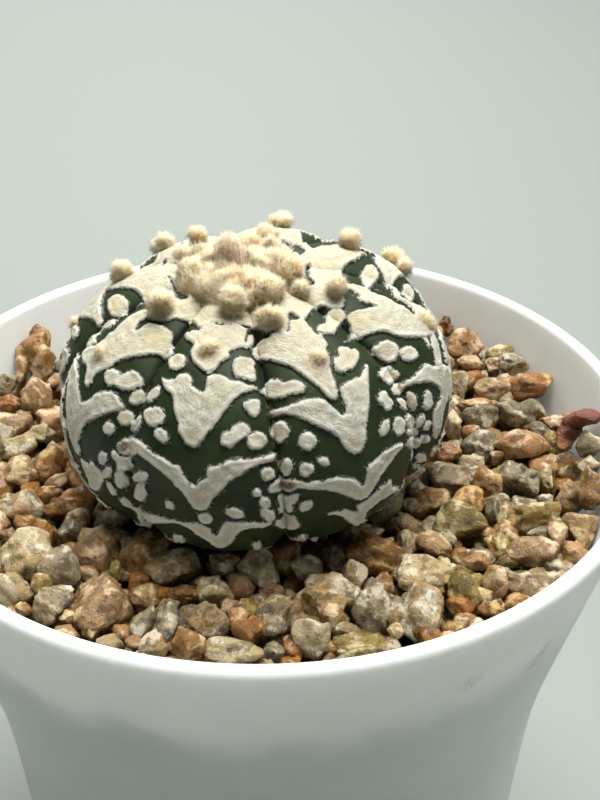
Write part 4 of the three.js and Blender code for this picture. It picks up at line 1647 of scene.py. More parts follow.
@dataclass
class Stem:
    """The ribbed stem with its felt chevrons, flecks and short hairs along their edges."""

    form: StemForm = field(default_factory=StemForm)
    slices: int = 512
    crown_rings: int = 12
    fine_rings: int = 160
    base_rings: int = 11
    fine_from: float = 6.0
    fine_to: float = 44.0
    felt_rise: float = 0.27
    lip_rise: float = 0.09
    clump_rise: float = 0.11
    swell: float = 0.05
    groove_depth: float = 0.05
    edge_unevenness: float = 0.07
    chevrons: tuple[Chevron, ...] = (
        Chevron(9.8, 15.6, 4.4, 2.2), Chevron(17.6, 24.0, 4.0, 1.4), Chevron(25.6, 31.6, 2.9, 1.2),
        Chevron(34.0, 37.9, 2.0, 1.0),
    )
    chevron_bend: float = 0.85
    pixels_per_mm: float = 8.1
    chevron_shifts: tuple[float, ...] = (0.0, 2.6, 1.5, -0.6, 2.0, 0.5, -0.8, 3.0)
    crown_felt: float = 7.2
    crown_notch: float = 1.5
    lobe_base: float = 0.72
    lobe_swell: float = 0.5
    lobe_across: float = 0.3
    first_row_share: float = 1.5
    flecks_start: float = 10.0
    flecks_end: float = 42.0
    fleck_pitch: float = 1.1
    fleck_radius: float = 0.65
    fleck_spread: float = 0.6
    sight_lift: float = 0.18
    hidden_from: float = 0.16
    flecks_from: float = 0.08
    # Cream towards the crown: partly the crown felt's own cream, partly painted shade that darkens the top,
    # where the lamps shine most.
    crown_cream_and_shade: float = 0.5
    fringe_density: float = 7e7
    fringe_length: float = 0.15
    fringe_width: float = 0.032
    finish: SkinFinish = field(default_factory=SkinFinish)
    fringe_finish: FuzzFinish = FuzzFinish("felt_hair", srgb(212, 211, 198), srgb(232, 231, 222))

    def grid(self) -> tuple[Array, Array]:
        """Lengths and azimuths of all points of the skin but its two poles.

        Returns:
            The lengths and the azimuths, ring by ring.
        """
        lengths = np.concatenate(
            [
                np.linspace(0.4, self.fine_from, self.crown_rings, endpoint=False),
                np.linspace(self.fine_from, self.fine_to, self.fine_rings, endpoint=False),
                np.linspace(self.fine_to, self.form.table[1][-1] - 1.2, self.base_rings),
            ]
        )
        azimuths = self.form.first_rib + np.arange(self.slices) * 360 / self.slices
        length, azimuth = np.meshgrid(lengths, azimuths, indexing="ij")
        return length, azimuth

    def slopes(self, values: Array) -> tuple[Array, Array]:
        """Steps of some values from each point of the skin to the next one down, and round."""
        return np.gradient(values, axis=0), (np.roll(values, -1, axis=1) - np.roll(values, 1, axis=1)) / 2

    def plain_edge(self, length: Array, azimuth: Array) -> Array:
        """Signed distance from the felt of the plain pattern, for the side that the photograph doesn't show.

        Args:
            length: Lengths from the crown.
            azimuth: Directions round the stem.

        Returns:
            The distance for each point, positive on felt.
        """
        across = self.form.across(azimuth)
        turn = (azimuth - self.form.first_rib) / (360 / self.form.ribs)
        rib = np.round(turn).astype(int) % self.form.ribs
        shift = np.array(self.chevron_shifts)[rib]
        places = np.stack([length, azimuth / 8, shift], -1).reshape(-1, 3)
        wobble = fractal(places, 0.45, 3, 11).reshape(length.shape)
        edge = np.full(length.shape, -2.0)
        for row, chevron in enumerate(self.chevrons):
            low = chevron.apex + shift + (chevron.furrow - chevron.apex - shift) * across**self.chevron_bend
            lobe = self.lobe_base + self.lobe_swell * np.exp(-(((across - self.lobe_across) / 0.2) ** 2))
            thick = (chevron.thick + (chevron.end - chevron.thick) * across) * lobe + wobble * 0.6
            if row == 0:
                thick = thick * self.first_row_share
            gap = np.minimum(low + wobble * 0.5 - length, length - low + thick) * 0.85
            edge = np.maximum(edge, gap)
        notch = self.crown_notch * np.exp(-(1 - across) / 0.06)
        crown = self.crown_felt + wobble * 1.6 - length - notch
        return np.maximum(edge, crown)

    def hidden_flecks(self, felt: FeltField, hidden: Array) -> None:
        """Sets round flecks along the furrows on the side that the photograph doesn't show.

        Args:
            felt: The felt so far.
            hidden: Which points lie on that side.
        """
        dice = Dice(23)
        scratch = np.full(len(felt.points), -2.0)
        for groove in range(self.form.ribs):
            middle = self.form.first_rib + (groove + 0.5) * 360 / self.form.ribs
            length, side = self.flecks_start, 1.0
            while length < self.flecks_end:
                reach = 1.1 + 2.4 * dice.roll()
                radius = float(self.form.meridian(self.form.psi_at(length))[0])
                azimuth = middle + side * math.degrees(reach / radius)
                centre = self.form.surface(np.array([length]), np.array([azimuth]))[0]
                size = self.fleck_radius + self.fleck_spread * dice.roll()
                scratch = np.maximum(scratch, size - np.linalg.norm(felt.points - centre, axis=1))
                length += self.fleck_pitch + 0.5 * dice.roll()
                side = -side
        felt.edge = np.where(hidden, np.maximum(felt.edge, scratch), felt.edge)

    def mark(self, felt: FeltField, sight: Sight) -> None:
        """Lays all marks that the photograph shows.

        Args:
            felt: The felt so far.
            sight: Finds the marks' places.
        """

        def laid(pixels: Array | tuple) -> tuple[Array, Array]:
            """Lays an outline of pixels on the skin."""
            found = [sight.find((float(x), float(y))) for x, y in np.reshape(pixels, (-1, 2))]
            return np.array([spot for spot, _ in found]), np.array([side for _, side in found])

        for outline in CROWN_PATCHES.values():
            felt.add(*laid(outline))
        for outline in CROWN_GAPS.values():
            felt.cut(*laid(outline))
        for outline in FELT_MARKS.values():
            felt.add(*laid(outline))
        dice = Dice(4)
        for row in FLECKS:
            felt.add(*laid(Fleck(*row).outline(dice)))

    def stain(self, points: Array, sight: Sight) -> dict[str, Array]:
        """Strength of each tint over the skin.

        Args:
            points: The skin's points.
            sight: Finds the stains' places.

        Returns:
            One value for each point, by tint.
        """
        amounts = {tint.value: np.zeros(len(points)) for tint in Tint}
        for tint, rows in STAINS.items():
            for x, y, radius, strength in rows:
                reach = np.linalg.norm(points - sight.find((x, y))[0], axis=1) / (radius / self.pixels_per_mm)
                amounts[tint.value] += strength * smoothstep(1.25, 0.35, reach)
        return amounts

    def directions(self, bare: Array) -> Array:
        """Outward directions of the skin, evened out across the furrows.

        Args:
            bare: The skin's points before the felt is raised.

        Returns:
            A direction for each point.
        """
        down, around = self.slopes(bare.reshape(-1, self.slices, 3))
        normals = unit(np.cross(down, around).reshape(-1, 3))
        if np.mean(np.einsum("ij,ij->i", normals, bare - np.array(self.form.place))) < 0:
            normals = -normals
        smooth = normals.reshape(-1, self.slices, 3)
        for _ in range(3):
            smooth = (smooth + np.roll(smooth, 1, 1) + np.roll(smooth, -1, 1)) / 3
        return unit(smooth.reshape(-1, 3))

    def felt_edge(self, felt: FeltField, sight: Sight) -> Array:
        """Signed distance of the skin's points from the edges of all felt.

        Args:
            felt: The bare skin.
            sight: Finds the marks' places.

        Returns:
            The distance for each point, positive on felt.
        """
        towards = unit(np.array(VIEW.location) - felt.points)
        facing = np.einsum("ij,ij->i", felt.normals, towards)
        plain = self.plain_edge(*self.grid()).ravel()
        felt.edge = np.where(facing < self.hidden_from, plain, felt.edge)
        self.hidden_flecks(felt, facing < self.flecks_from)
        self.mark(felt, sight)
        return felt.edge + self.edge_unevenness * fractal(felt.points, 2.2, 3, 17)

    def relief(self, bare: Array, edge: Array, length: Array) -> Array:
        """How far the skin stands off the flesh: matted felt with a lip and a groove at its foot.

        Args:
            bare: The skin's points before the felt is raised.
            edge: Distance from the felt's edge.
            length: Lengths from the crown.

        Returns:
            The height at each point.
        """
        cover = smoothstep(-0.05, 0.12, edge)
        lip = np.exp(-(((edge - 0.2) / 0.16) ** 2)) * (edge > -0.1)
        clumps = fractal(bare, 1.5, 4, 29)
        rise = cover * (self.felt_rise + self.clump_rise * clumps) + self.lip_rise * lip
        rise += self.swell * fractal(bare, 0.35, 3, 41) * smoothstep(0, 8, length)
        rise -= self.groove_depth * np.exp(-(((edge + 0.12) / 0.1) ** 2))
        return rise

    def give_patterns(self, skin: Object, edge: Array, tints: dict[str, Array]) -> None:
        """Stores what the skin's material draws from.

        Args:
            skin: The finished skin.
            edge: Distance of each point from the felt's edge.
            tints: Strength of each tint.
        """

        def give(name: str, values: Array, pole: float = 0.0) -> None:
            """Stores one pattern and its value at the two poles."""
            give_values(skin, name, np.concatenate([values, [pole, pole]]))

        form = self.form
        length, azimuth = (values.ravel() for values in self.grid())
        give("felt_edge", edge, 1.0)
        for name, values in tints.items():
            give(name, np.clip(values, 0, 1))
        turn = (azimuth - form.first_rib) / (360 / form.ribs)
        radius = form.meridian(form.psi_at(length))[0]
        sideways = np.abs((turn - np.round(turn)) * 2 * math.pi / form.ribs * radius)
        across = form.across(azimuth)
        give("furrow", smoothstep(4, 9, length))
        give("crease", (1 - across) * math.pi / form.ribs * radius, 1.0)
        give("scurf", np.exp(-(1 - across) / 0.022) * smoothstep(14, 24, length))
        flow = np.stack([sideways, length + 0.72 * sideways, np.round(turn) * 7], -1)
        give_values(skin, "felt_flow", np.vstack([flow, np.zeros((2, 3))]))

    def build(self) -> None:
        """Makes the skin and its fringe of hairs."""
        form = self.form
        length, azimuth = (values.ravel() for values in self.grid())
        bare = form.surface(length, azimuth)
        smooth = self.directions(bare)
        sight = Sight(form, self.sight_lift)
        edge = self.felt_edge(FeltField(bare, smooth), sight)
        tints = self.stain(bare, sight)
        # Painted shade and the crown felt's own cream: the felt darkens towards the crown, which gets the
        # most light.
        tints["cream"] += smoothstep(30.0, 8.0, length) * self.crown_cream_and_shade
        raised = bare + smooth * self.relief(bare, edge, length)[:, None]
        top = form.surface(np.array([0.0]), np.array([0.0]), 0.3)
        foot = form.axis_point(-form.underside)
        points, faces = capped(raised.reshape(-1, self.slices, 3), top, foot)
        skin = make_mesh("stem_skin", points, faces, self.finish.material())
        self.give_patterns(skin, edge, tints)
        point_outwards(skin)
        self.fringe(skin, bare, edge)
        settle(skin, "cactus_skin", "cactus_body")

    def fringe(self, skin: Object, bare: Array, edge: Array) -> None:
        """Grows the short hairs that fray the edges of the felt.

        Args:
            skin: The finished skin.
            bare: Its points before the felt was raised.
            edge: Distance of each point from the felt's edge.
        """
        places = self.slopes(bare.reshape(-1, self.slices, 3))
        levels = self.slopes(edge.reshape(-1, self.slices))
        down, around = (
            step * (change / np.maximum((step**2).sum(-1), 1e-6))[..., None]
            for step, change in zip(places, levels)
        )
        comb = -unit((down + around).reshape(-1, 3))
        length = self.grid()[0].ravel()
        shown = smoothstep(4, 8, length) * smoothstep(50, 44, length)
        cover = smoothstep(-0.05, 0.03, edge) * smoothstep(0.4, 0.15, edge) * shown
        give_values(skin, "hair_cover", np.concatenate([cover, [0, 0]]))
        give_values(skin, "hair_comb", np.vstack([comb, np.zeros((2, 3))]))
        hairs = grow(
            "felt_fringe", skin, TREES.hairs,
            {
                "Density": self.fringe_density, "Length": self.fringe_length * MM, "Length Spread": 0.5,
                "Width": self.fringe_width * MM, "Sideways": 0.5, "Upright": 0.25, "Sunk": 0.15, "Seed": 3,
                "Material": self.fringe_finish.material(),
            },
        )
        settle(hairs, "cactus_skin", "cactus_body")


@dataclass
class Root:
    """The tap root, which is part of the stem and hangs plumb from its underside."""

    form: StemForm = field(default_factory=StemForm)
    # Radius and height below the neck.
    profile: tuple[tuple[float, float], ...] = ((1.6, 38.0), (2.3, 44.0), (3.4, 52.0), (4.8, 60.0))
    neck_radius: float = 6.2
    neck_drop: float = 3.0
    top_radius: float = 6.4
    top_rise: float = 1.5
    tip: float = 37.9
    rings: int = 40
    sides: int = 32
    finish: RootFinish = field(default_factory=RootFinish)

    def build(self) -> None:
        """Makes the wrinkled root along its profile."""
        foot = self.form.axis_point(-self.form.underside)
        neck = ((self.neck_radius, foot[2] - self.neck_drop), (self.top_radius, foot[2] + self.top_rise))
        profile = np.array(self.profile + neck)
        steps = np.linspace(0, len(profile) - 1, self.rings)[:, None]
        radius, height = (np.interp(steps, range(len(profile)), column) for column in profile.T)
        points = polar(radius, turns(self.sides), height).reshape(-1, 3)
        outward = unit(points * [1, 1, 0])
        wrinkles = fractal(points * [1, 1, 0.35], 0.8, 4, 61)
        points = points + outward * (wrinkles * 0.22 - 0.2)[:, None] + foot * [1, 1, 0]
        tip = np.array([foot[0], foot[1], self.tip])
        top = np.array([foot[0], foot[1], foot[2] + self.top_rise])
        points, faces = capped(points.reshape(self.rings, self.sides, 3), tip, top)
        root = make_mesh("tap_root", points, faces, self.finish.material())
        point_outwards(root)
        settle(root, "cactus_skin", "cactus_body")


class WoolTone(Enum):
    """How a tuft is coloured: its share of gold and of pink."""

    GOLD = (0.85, 0.05)
    TAN = (0.55, 0.15)
    CREAM = (0.25, 0.05)
    WHITE = (0.05, 0.0)
    PINK = (0.35, 0.45)


@dataclass(frozen=True)
class Tuft:
    """A ball of wool on an areole, placed by the pixel of its middle."""

    x: float
    y: float
    radius: float
    tone: WoolTone
    rise: float = 1.0


AREOLE_TUFTS: tuple[Tuft, ...] = (
    Tuft(197, 237, 1.35, WoolTone.GOLD), Tuft(266, 237, 1.55, WoolTone.GOLD),
    Tuft(285, 217, 1.1, WoolTone.CREAM), Tuft(350, 240, 1.5, WoolTone.TAN),
    Tuft(165, 243, 1.2, WoolTone.WHITE), Tuft(121, 272, 1.35, WoolTone.CREAM),
    Tuft(160, 304, 1.65, WoolTone.GOLD), Tuft(335, 288, 1.4, WoolTone.PINK),
    Tuft(270, 317, 1.55, WoolTone.TAN), Tuft(405, 268, 1.1, WoolTone.WHITE),
    Tuft(425, 324, 1.7, WoolTone.WHITE, 0.3), Tuft(67, 318, 0.8, WoolTone.WHITE, 0.4),
    Tuft(103, 355, 0.9, WoolTone.PINK, 0.2), Tuft(208, 350, 1.15, WoolTone.TAN, 0.25),
    Tuft(317, 361, 1.05, WoolTone.PINK, 0.2),
)

CROWN_TUFTS: tuple[Tuft, ...] = (
    Tuft(190, 275, 2.1, WoolTone.CREAM), Tuft(284, 268, 2.2, WoolTone.GOLD),
    Tuft(232, 303, 1.9, WoolTone.CREAM), Tuft(251, 300, 1.4, WoolTone.TAN),
    Tuft(270, 290, 1.8, WoolTone.CREAM), Tuft(210, 288, 1.9, WoolTone.TAN),
    Tuft(203, 258, 2.0, WoolTone.CREAM), Tuft(259, 264, 1.9, WoolTone.CREAM),
    Tuft(246, 282, 1.7, WoolTone.TAN), Tuft(222, 280, 1.6, WoolTone.CREAM),
    Tuft(184, 255, 1.3, WoolTone.WHITE), Tuft(300, 290, 1.1, WoolTone.CREAM),
)

# Rib number and length from the crown of the woolly areoles on the far side.
HIDDEN_AREOLES: dict[int, float] = {3: 22.6, 4: 18.5, 5: 23.0}


@dataclass(frozen=True)
class HairCoat:
    """Sizes of woolly hairs in millimetres, and how they stand."""

    length: float = 0.8
    spread: float = 0.6
    width: float = 0.026
    upright: float = 0.6
    sunk: float = 0.1

    def cover(self, base: Object, name: str, density: float, wild: float, finish: FuzzFinish) -> Object:
        """Covers some wool with hairs.

        Args:
            base: What the hairs stand on.
            name: Name of the new piece.
            density: Hairs to the square metre.
            wild: How much their directions differ.
            finish: The hairs' finish.

        Returns:
            The hairs.
        """
        return grow(
            name, base, TREES.hairs,
            {
                "Density": density, "Length": self.length * MM, "Length Spread": self.spread,
                "Width": self.width * MM, "Sideways": wild, "Upright": self.upright,
                "Sunk": self.sunk, "Seed": len(name), "Material": finish.material(),
            },
        )


def dress_wool(piece: Object, gold: Array, pink: Array, cover: Array, comb: Array) -> None:
    """Stores the tones of some wool, where hairs stand on it and which way they lean.

    Args:
        piece: The wool.
        gold, pink: Strength of each tone.
        cover: Where hairs stand.
        comb: Which way they lean.
    """
    give_values(piece, "wool_gold", gold)
    give_values(piece, "wool_pink", pink)
    give_values(piece, "hair_cover", cover)
    give_values(piece, "hair_comb", comb)


@dataclass
class Wool:
    """The woolly areoles and the cushion in the crown."""

    form: StemForm = field(default_factory=StemForm)
    lobes: int = 5
    lobe_radius: float = 0.45
    lobe_spread: float = 0.25
    lobe_reach: float = 0.65
    first_lobe: float = 1.5
    lumpiness: float = 0.3
    hair: HairCoat = field(default_factory=HairCoat)
    hair_lean: float = 0.35
    hidden_lift: float = 0.9
    hidden_radius: float = 1.0
    cushion_rings: int = 40
    cushion_sides: int = 144
    cushion_radius: float = 6.9
    cushion_rise: float = 1.45
    billow_rise: float = 2.2
    tuft_share: float = 0.68
    wool: FuzzFinish = FuzzFinish(
        "areole_wool", srgb(238, 219, 168), srgb(238, 228, 196), srgb(228, 186, 104), srgb(216, 190, 152)
    )
    felted: FuzzFinish = FuzzFinish(
        "matted_wool", srgb(238, 216, 160), srgb(240, 226, 184), srgb(230, 182, 92)
    )
    # Hairs to the square metre.
    areole_density: float = 1.65e8
    mat_density: float = 3.0e8
    clump_density: float = 1.52e8

    def balls(self, tufts: list[tuple[Array, Array, float, WoolTone]], name: str, seed: int) -> Object:
        """Makes tufts of a few lumpy lobes that carry their tones.

        Args:
            tufts: Middle, upward direction, radius and tone of each tuft.
            name: Name of the object.
            seed: Chooses the lumps.

        Returns:
            One object with all the tufts.
        """
        directions, triangles = icosphere(2)
        dice = Dice(seed)
        points, faces, gold, pink, comb = [], [], [], [], []
        for middle, up, radius, tone in tufts:
            for lobe in range(self.lobes):
                aside = unit(np.array([dice.spread(1), dice.spread(1), dice.spread(1)]))
                size = radius * (self.lobe_radius + self.lobe_spread * dice.roll())
                size *= 1.0 if lobe else self.first_lobe
                reach = self.lobe_reach if lobe else 0.0
                shift = aside * radius * reach + up * radius * 0.1 * dice.spread(1)
                lumps = fractal(directions * 1.9 + dice.roll() * 50, 1.0, 2, seed)
                lumps = 1 + self.lumpiness * lumps
                offset = directions * (size * lumps)[:, None]
                upward = (offset + shift) @ up / radius
                points.append(middle + shift + offset)
                faces.append(triangles + (len(points) - 1) * len(directions))
                warm = tone.value[0] * (0.75 - 0.75 * upward) * (0.6 + 0.8 * dice.roll())
                gold.append(np.clip(warm, 0, 1))
                pink.append(np.full(len(directions), tone.value[1] * (0.6 + 0.8 * dice.roll())))
                comb.append(np.tile(up * self.hair_lean, (len(directions), 1)))
        ball = make_mesh(name, np.vstack(points), np.vstack(faces).tolist())
        cover = np.ones(len(ball.data.vertices))
        dress_wool(ball, np.concatenate(gold), np.concatenate(pink), cover, np.vstack(comb))
        return ball

    def placed(self, tuft: Tuft, sights: dict[float, Sight]) -> tuple[Array, Array, float, WoolTone]:
        """Sets a tuft on the skin below its pixel.

        Args:
            tuft: The tuft.
            sights: Sights made so far, by their lift.

        Returns:
            Its middle, upward direction, radius and tone.
        """
        lift = round(tuft.radius * (0.75 * tuft.rise - 0.5 * (1 - tuft.rise)), 1)
        if lift not in sights:
            sights[lift] = Sight(self.form, lift)
        foot, up = sights[lift].find((tuft.x, tuft.y))
        return foot + up * lift, up, tuft.radius * self.tuft_share, tuft.tone

    def cushion(self) -> Object:
        """Makes the billowy mat of wool that fills the crown round the bud.

        Returns:
            The mat.
        """
        rings, sides = self.cushion_rings, self.cushion_sides
        share = np.linspace(0.01, 1, rings)[:, None]
        azimuth = np.tile(np.arange(sides) * 360 / sides, (rings, 1))
        angle = np.radians(azimuth)
        uneven = fractal(polar(1.7, angle[0], 0.0), 1.0, 2, 5)
        reach = share * self.cushion_radius * (1 + 0.16 * uneven)[None, :]
        flat = polar(reach, angle, 0.0).reshape(-1, 3)
        billows = np.sqrt(np.abs(value_noise(flat * 0.62 + 9.3, 3))).reshape(reach.shape)
        small = fractal(flat, 1.5, 3, 8).reshape(reach.shape)
        lift = self.cushion_rise + self.billow_rise * billows + 0.6 * small
        lift = lift * (1 - share**6) - 0.25 * share**6
        top = self.form.surface(reach.ravel(), azimuth.ravel(), lift.ravel()).reshape(rings, sides, 3)
        low = self.form.surface(reach.ravel(), azimuth.ravel(), -0.5).reshape(rings, sides, 3)
        rows = np.concatenate([top, low[::-1]])
        points, faces = capped(rows, top[0].mean(axis=0), low[0].mean(axis=0))
        mat = make_mesh("crown_wool_mat", points, faces)
        count = rings * sides
        tone = np.clip(0.4 + 0.9 * fractal(flat, 0.5, 2, 44) - 0.6 * billows.ravel(), 0, 1)
        gold = np.concatenate([tone, tone[::-1], [0.4, 0.4]])
        cover = np.concatenate([np.repeat(1 - share**6, sides), np.zeros(count), [1.0, 0.0]])
        comb = np.tile(self.form.turn @ np.array([0.0, 0.0, 0.25]), (len(points), 1))
        dress_wool(mat, gold, np.full(len(points), 0.12), cover, comb)
        point_outwards(mat)
        return mat

    def build(self) -> None:
        """Makes the tufts and the cushion."""
        felted = self.felted.material()
        sights: dict[float, Sight] = {}
        tufts = [self.placed(tuft, sights) for tuft in AREOLE_TUFTS]
        dice = Dice(12)
        for rib, length in HIDDEN_AREOLES.items():
            azimuth = np.array([self.form.first_rib + rib * 360 / self.form.ribs])
            foot = self.form.surface(np.array([length]), azimuth)[0]
            up = unit(self.form.surface(np.array([length]), azimuth, 1.0)[0] - foot)
            tone = (WoolTone.GOLD, WoolTone.CREAM, WoolTone.TAN)[int(dice.roll() * 3)]
            tufts.append((foot + up * self.hidden_lift, up, self.hidden_radius + dice.roll() * 0.2, tone))
        balls = self.balls(tufts, "areole_wool", 71)
        hairs = self.hair.cover(balls, "areole_hairs", self.areole_density, 1.1, self.wool)
        balls.data.materials.append(felted)
        settle(balls, "areole_wool", "cactus_body")
        settle(hairs, "areole_wool", "cactus_body")
        clumps = self.balls([self.placed(tuft, sights) for tuft in CROWN_TUFTS], "crown_clumps", 83)
        mat = self.cushion()
        tousle = self.hair.cover(mat, "crown_wool_hairs", self.mat_density, 1.3, self.wool)
        halo = self.hair.cover(clumps, "crown_clump_hairs", self.clump_density, 1.2, self.wool)
        for piece in (clumps, mat):
            piece.data.materials.append(felted)
        for piece in (clumps, mat, tousle, halo):
            settle(piece, "areole_wool", "crown_wool")


@dataclass
class Bud:
    """The pointed bud in the crown, with hairs that close over its tip."""

    form: StemForm = field(default_factory=StemForm)
    hair: HairCoat = field(default_factory=HairCoat)
    height: float = 5.3
    radius: float = 1.55
    foot: Triple = (-0.85, -0.3, 0.9)
    rings: int = 26
    sides: int = 40
    pleat_depth: float = 0.1
    pleat_turns: float = 2.5
    # Hairs to the square metre.
    down_density: float = 1.2e8
    strands: int = 60
    strand_joints: int = 10
    strand_radius: float = 0.034
    strand_turn: float = 2.39996
    strand_corner: float = 2.0944
    skin: FuzzFinish = FuzzFinish(
        "bud_skin", srgb(248, 234, 200), srgb(250, 240, 218), pink=srgb(240, 206, 176)
    )
    strand: FuzzFinish = FuzzFinish(
        "bud_hair", srgb(170, 120, 96), srgb(232, 206, 178), pink=srgb(176, 122, 102)
    )

    def build(self) -> None:
        """Makes the pointed bud with hairs that close over its tip."""
        up = self.form.turn @ np.array([0.0, 0.0, 1.0])
        share = np.linspace(0, 0.985, self.rings)[:, None]
        radius = self.radius * np.sqrt(1 - share) * (0.82 + 0.75 * share)
        angle = turns(self.sides)
        pleat = 1 - self.pleat_depth * np.abs(np.sin(angle * self.pleat_turns))
        local = polar(radius * pleat, angle, share * self.height)
        points, faces = capped(local, np.zeros(3), np.array([0.0, 0.0, self.height]))
        crown = self.form.surface(np.array([0.0]), np.array([0.0]))[0]
        start = crown + self.form.turn @ np.array(self.foot)
        bud = make_mesh("bud_core", points @ self.form.turn.T + start, faces)
        high = np.clip(points[:, 2] / self.height, 0, 1)
        give_values(bud, "wool_gold", 0.25 - 0.2 * high)
        give_values(bud, "wool_pink", 0.1 + 0.35 * high)
        give_values(bud, "hair_along", 0.6 + 0.3 * np.sin(7 * np.arctan2(points[:, 1], points[:, 0])))
        point_outwards(bud)
        give_values(bud, "hair_cover", np.ones(len(points)))
        give_values(bud, "hair_comb", np.tile(up * 0.5, (len(points), 1)))
        down = self.hair.cover(bud, "bud_down", self.down_density, 0.5, self.skin)
        bud.data.materials.append(self.skin.material())
        settle(bud, "bud_hair", "flower_bud")
        settle(down, "bud_hair", "flower_bud")
        self.long_hairs(start)

    def long_hairs(self, start: Array) -> None:
        """Makes the long pinkish hairs that arch over the bud and meet at its tip.

        Args:
            start: The foot of the bud.
        """
        dice = Dice(31)
        joints = self.strand_joints
        points, faces, along = [], [], []
        share = np.linspace(0, 1, joints)
        for number in range(self.strands):
            azimuth = number * self.strand_turn
            girth = self.radius * (0.8 + 0.6 * dice.roll())
            top = self.height * (0.7 + 0.5 * dice.roll())
            swing = dice.spread(0.6)
            radius = girth * (0.8 + 1.1 * share) * np.sqrt(np.maximum(1 - share**1.6, 0.0)) + dice.spread(0.2)
            turn = azimuth + swing * share**2
            line = polar(radius, turn, -0.3 + (top + 0.3) * share**0.9)
            thick = self.strand_radius * (1 - 0.7 * share)
            for corner in range(3):
                points.append(line + polar(thick, azimuth + corner * self.strand_corner, 0.0))
                along.append(share)
            first = number * 3 * joints
            for corner in range(3):
                low, high = first + corner * joints, first + (corner + 1) % 3 * joints
                faces += [[low + j, high + j, high + j + 1, low + j + 1] for j in range(joints - 1)]
            faces.append([first, first + 2 * joints, first + joints])
            faces.append([first + joints - 1, first + 2 * joints - 1, first + 3 * joints - 1])
        placed = np.vstack(points) @ self.form.turn.T + start
        hairs = make_mesh("bud_hairs", placed, faces, self.strand.material())
        give_values(hairs, "hair_along", np.concatenate(along))
        give_values(hairs, "wool_pink", np.full(len(placed), 0.45))
        point_outwards(hairs)
        settle(hairs, "bud_hair", "flower_bud")


@dataclass(frozen=True)
class StoneFinish:
    """One kind of stone: its colours, how clear it is and how it shines."""

    main: Colour
    second: Colour
    speck: Colour
    pale: Colour
    stain: Colour = srgb(164, 112, 48)
    clear: float = 0.2
    roughness: float = 0.3
    wet: float = 0.28

    def material(self, name: str, seed: float) -> Material:
        """Builds the material.

        Args:
            name: Name of the material.
            seed: Shifts the pattern.

        Returns:
            The material.
        """
        sketch = MaterialSketch(name)
        place = sketch.place()
        tone = sketch.attribute("stone_tone")
        zones = sketch.effect(EFFECTS.mottle, place, 300.0, seed)
        clouds = sketch.effect(EFFECTS.mottle, place, 520.0, seed + 9)
        crusts = sketch.effect(EFFECTS.mottle, place, 430.0, seed + 17)
        pits = sketch.effect(EFFECTS.mottle, place, 680.0, seed + 23)
        grains = sketch.effect(EFFECTS.crystals, place, 1500.0, seed + 4)["Grains"]
        facets = sketch.effect(EFFECTS.crystals, place, 520.0, seed + 2)["Grains"]
        colour = sketch.blend(zones["Patches"], self.main, self.second)
        colour = sketch.blend(sketch.remap(facets, 0.0, 1.0, 0.0, 0.35), colour, self.second)
        stained = clouds["Patches"] * sketch.remap(tone, 0.3, 0.9, 0.1, 0.9)
        colour = sketch.blend(stained, colour, self.stain)
        colour = sketch.blend(sketch.remap(pits["Patches"], 0.1, 0.4, 0.62, 0.0), colour, self.speck)
        colour = colour * sketch.remap(tone, 0.0, 1.0, 0.48, 0.66)
        colour = sketch.blend(sketch.remap(crusts["Patches"], 0.5, 0.95, 0.0, 0.58), colour, self.pale)
        fine = sketch.remap(zones["Crumb"], 0.0, 0.5, 0.35, 0.0) * 0.8
        height = facets + grains * 0.15 + clouds["Crumb"] * 0.9
        return sketch.finished({
            "Base Color": sketch.blend(fine, colour, self.speck),
            "Roughness": sketch.remap(facets, 0.0, 1.0, self.roughness - 0.14, self.roughness + 0.1),
            "IOR": 1.52,
            "Coat Weight": self.wet,
            "Coat Roughness": 0.12,
            "Subsurface Weight": self.clear,
            "Subsurface Radius": (1.0, 0.8, 0.55),
            "Subsurface Scale": 0.0008,
            "Normal": sketch.bump(height, 0.6, 0.0003),
        })


class Stone(Enum):
    """The kinds of stone in the grit."""

    QUARTZ = "quartz"
    TAN = "tan_granite"
    PEACH = "peach_granite"
    OCHRE = "ochre_stone"
    OLIVE = "olive_quartz"
    CREAM = "cream_stone"
    GREY = "grey_granite"


STONE_FINISHES: dict[Stone, StoneFinish] = {
    Stone.QUARTZ: StoneFinish(
        srgb(212, 198, 162), srgb(168, 146, 104), srgb(84, 64, 36), srgb(242, 234, 210), srgb(204, 160, 88),
        0.4, 0.24,
    ),
    Stone.TAN: StoneFinish(srgb(214, 174, 108), srgb(168, 122, 62), srgb(74, 48, 22), srgb(242, 220, 174)),
    Stone.PEACH: StoneFinish(
        srgb(224, 186, 132), srgb(192, 148, 94), srgb(100, 68, 36), srgb(246, 224, 184), srgb(208, 146, 76)
    ),
    Stone.OCHRE: StoneFinish(
        srgb(212, 152, 60), srgb(160, 104, 38), srgb(66, 40, 14), srgb(238, 206, 140), srgb(194, 116, 32)
    ),
    Stone.OLIVE: StoneFinish(
        srgb(206, 184, 108), srgb(162, 136, 66), srgb(70, 54, 24), srgb(238, 226, 178), srgb(194, 146, 48)
    ),
    Stone.CREAM: StoneFinish(
        srgb(238, 222, 180), srgb(212, 190, 138), srgb(112, 90, 54), srgb(252, 246, 224), srgb(218, 182, 110),
        0.3,
    ),
    Stone.GREY: StoneFinish(
        srgb(186, 172, 138), srgb(142, 124, 88), srgb(62, 50, 30), srgb(234, 222, 194), srgb(182, 144, 78),
        0.35, 0.24,
    ),
}
STONE_SHARES: tuple[tuple[Stone, float], ...] = (
    (Stone.QUARTZ, 0.26), (Stone.TAN, 0.22), (Stone.PEACH, 0.16), (Stone.OCHRE, 0.13), (Stone.OLIVE, 0.1),
    (Stone.CREAM, 0.06), (Stone.GREY, 0.07),
)


@dataclass(frozen=True)
class Pebble:
    """A stone that the photograph shows: its middle, half sizes and turn there."""

    x: float
    y: float
    wide: float
    tall: float
    turn: float = 0.0


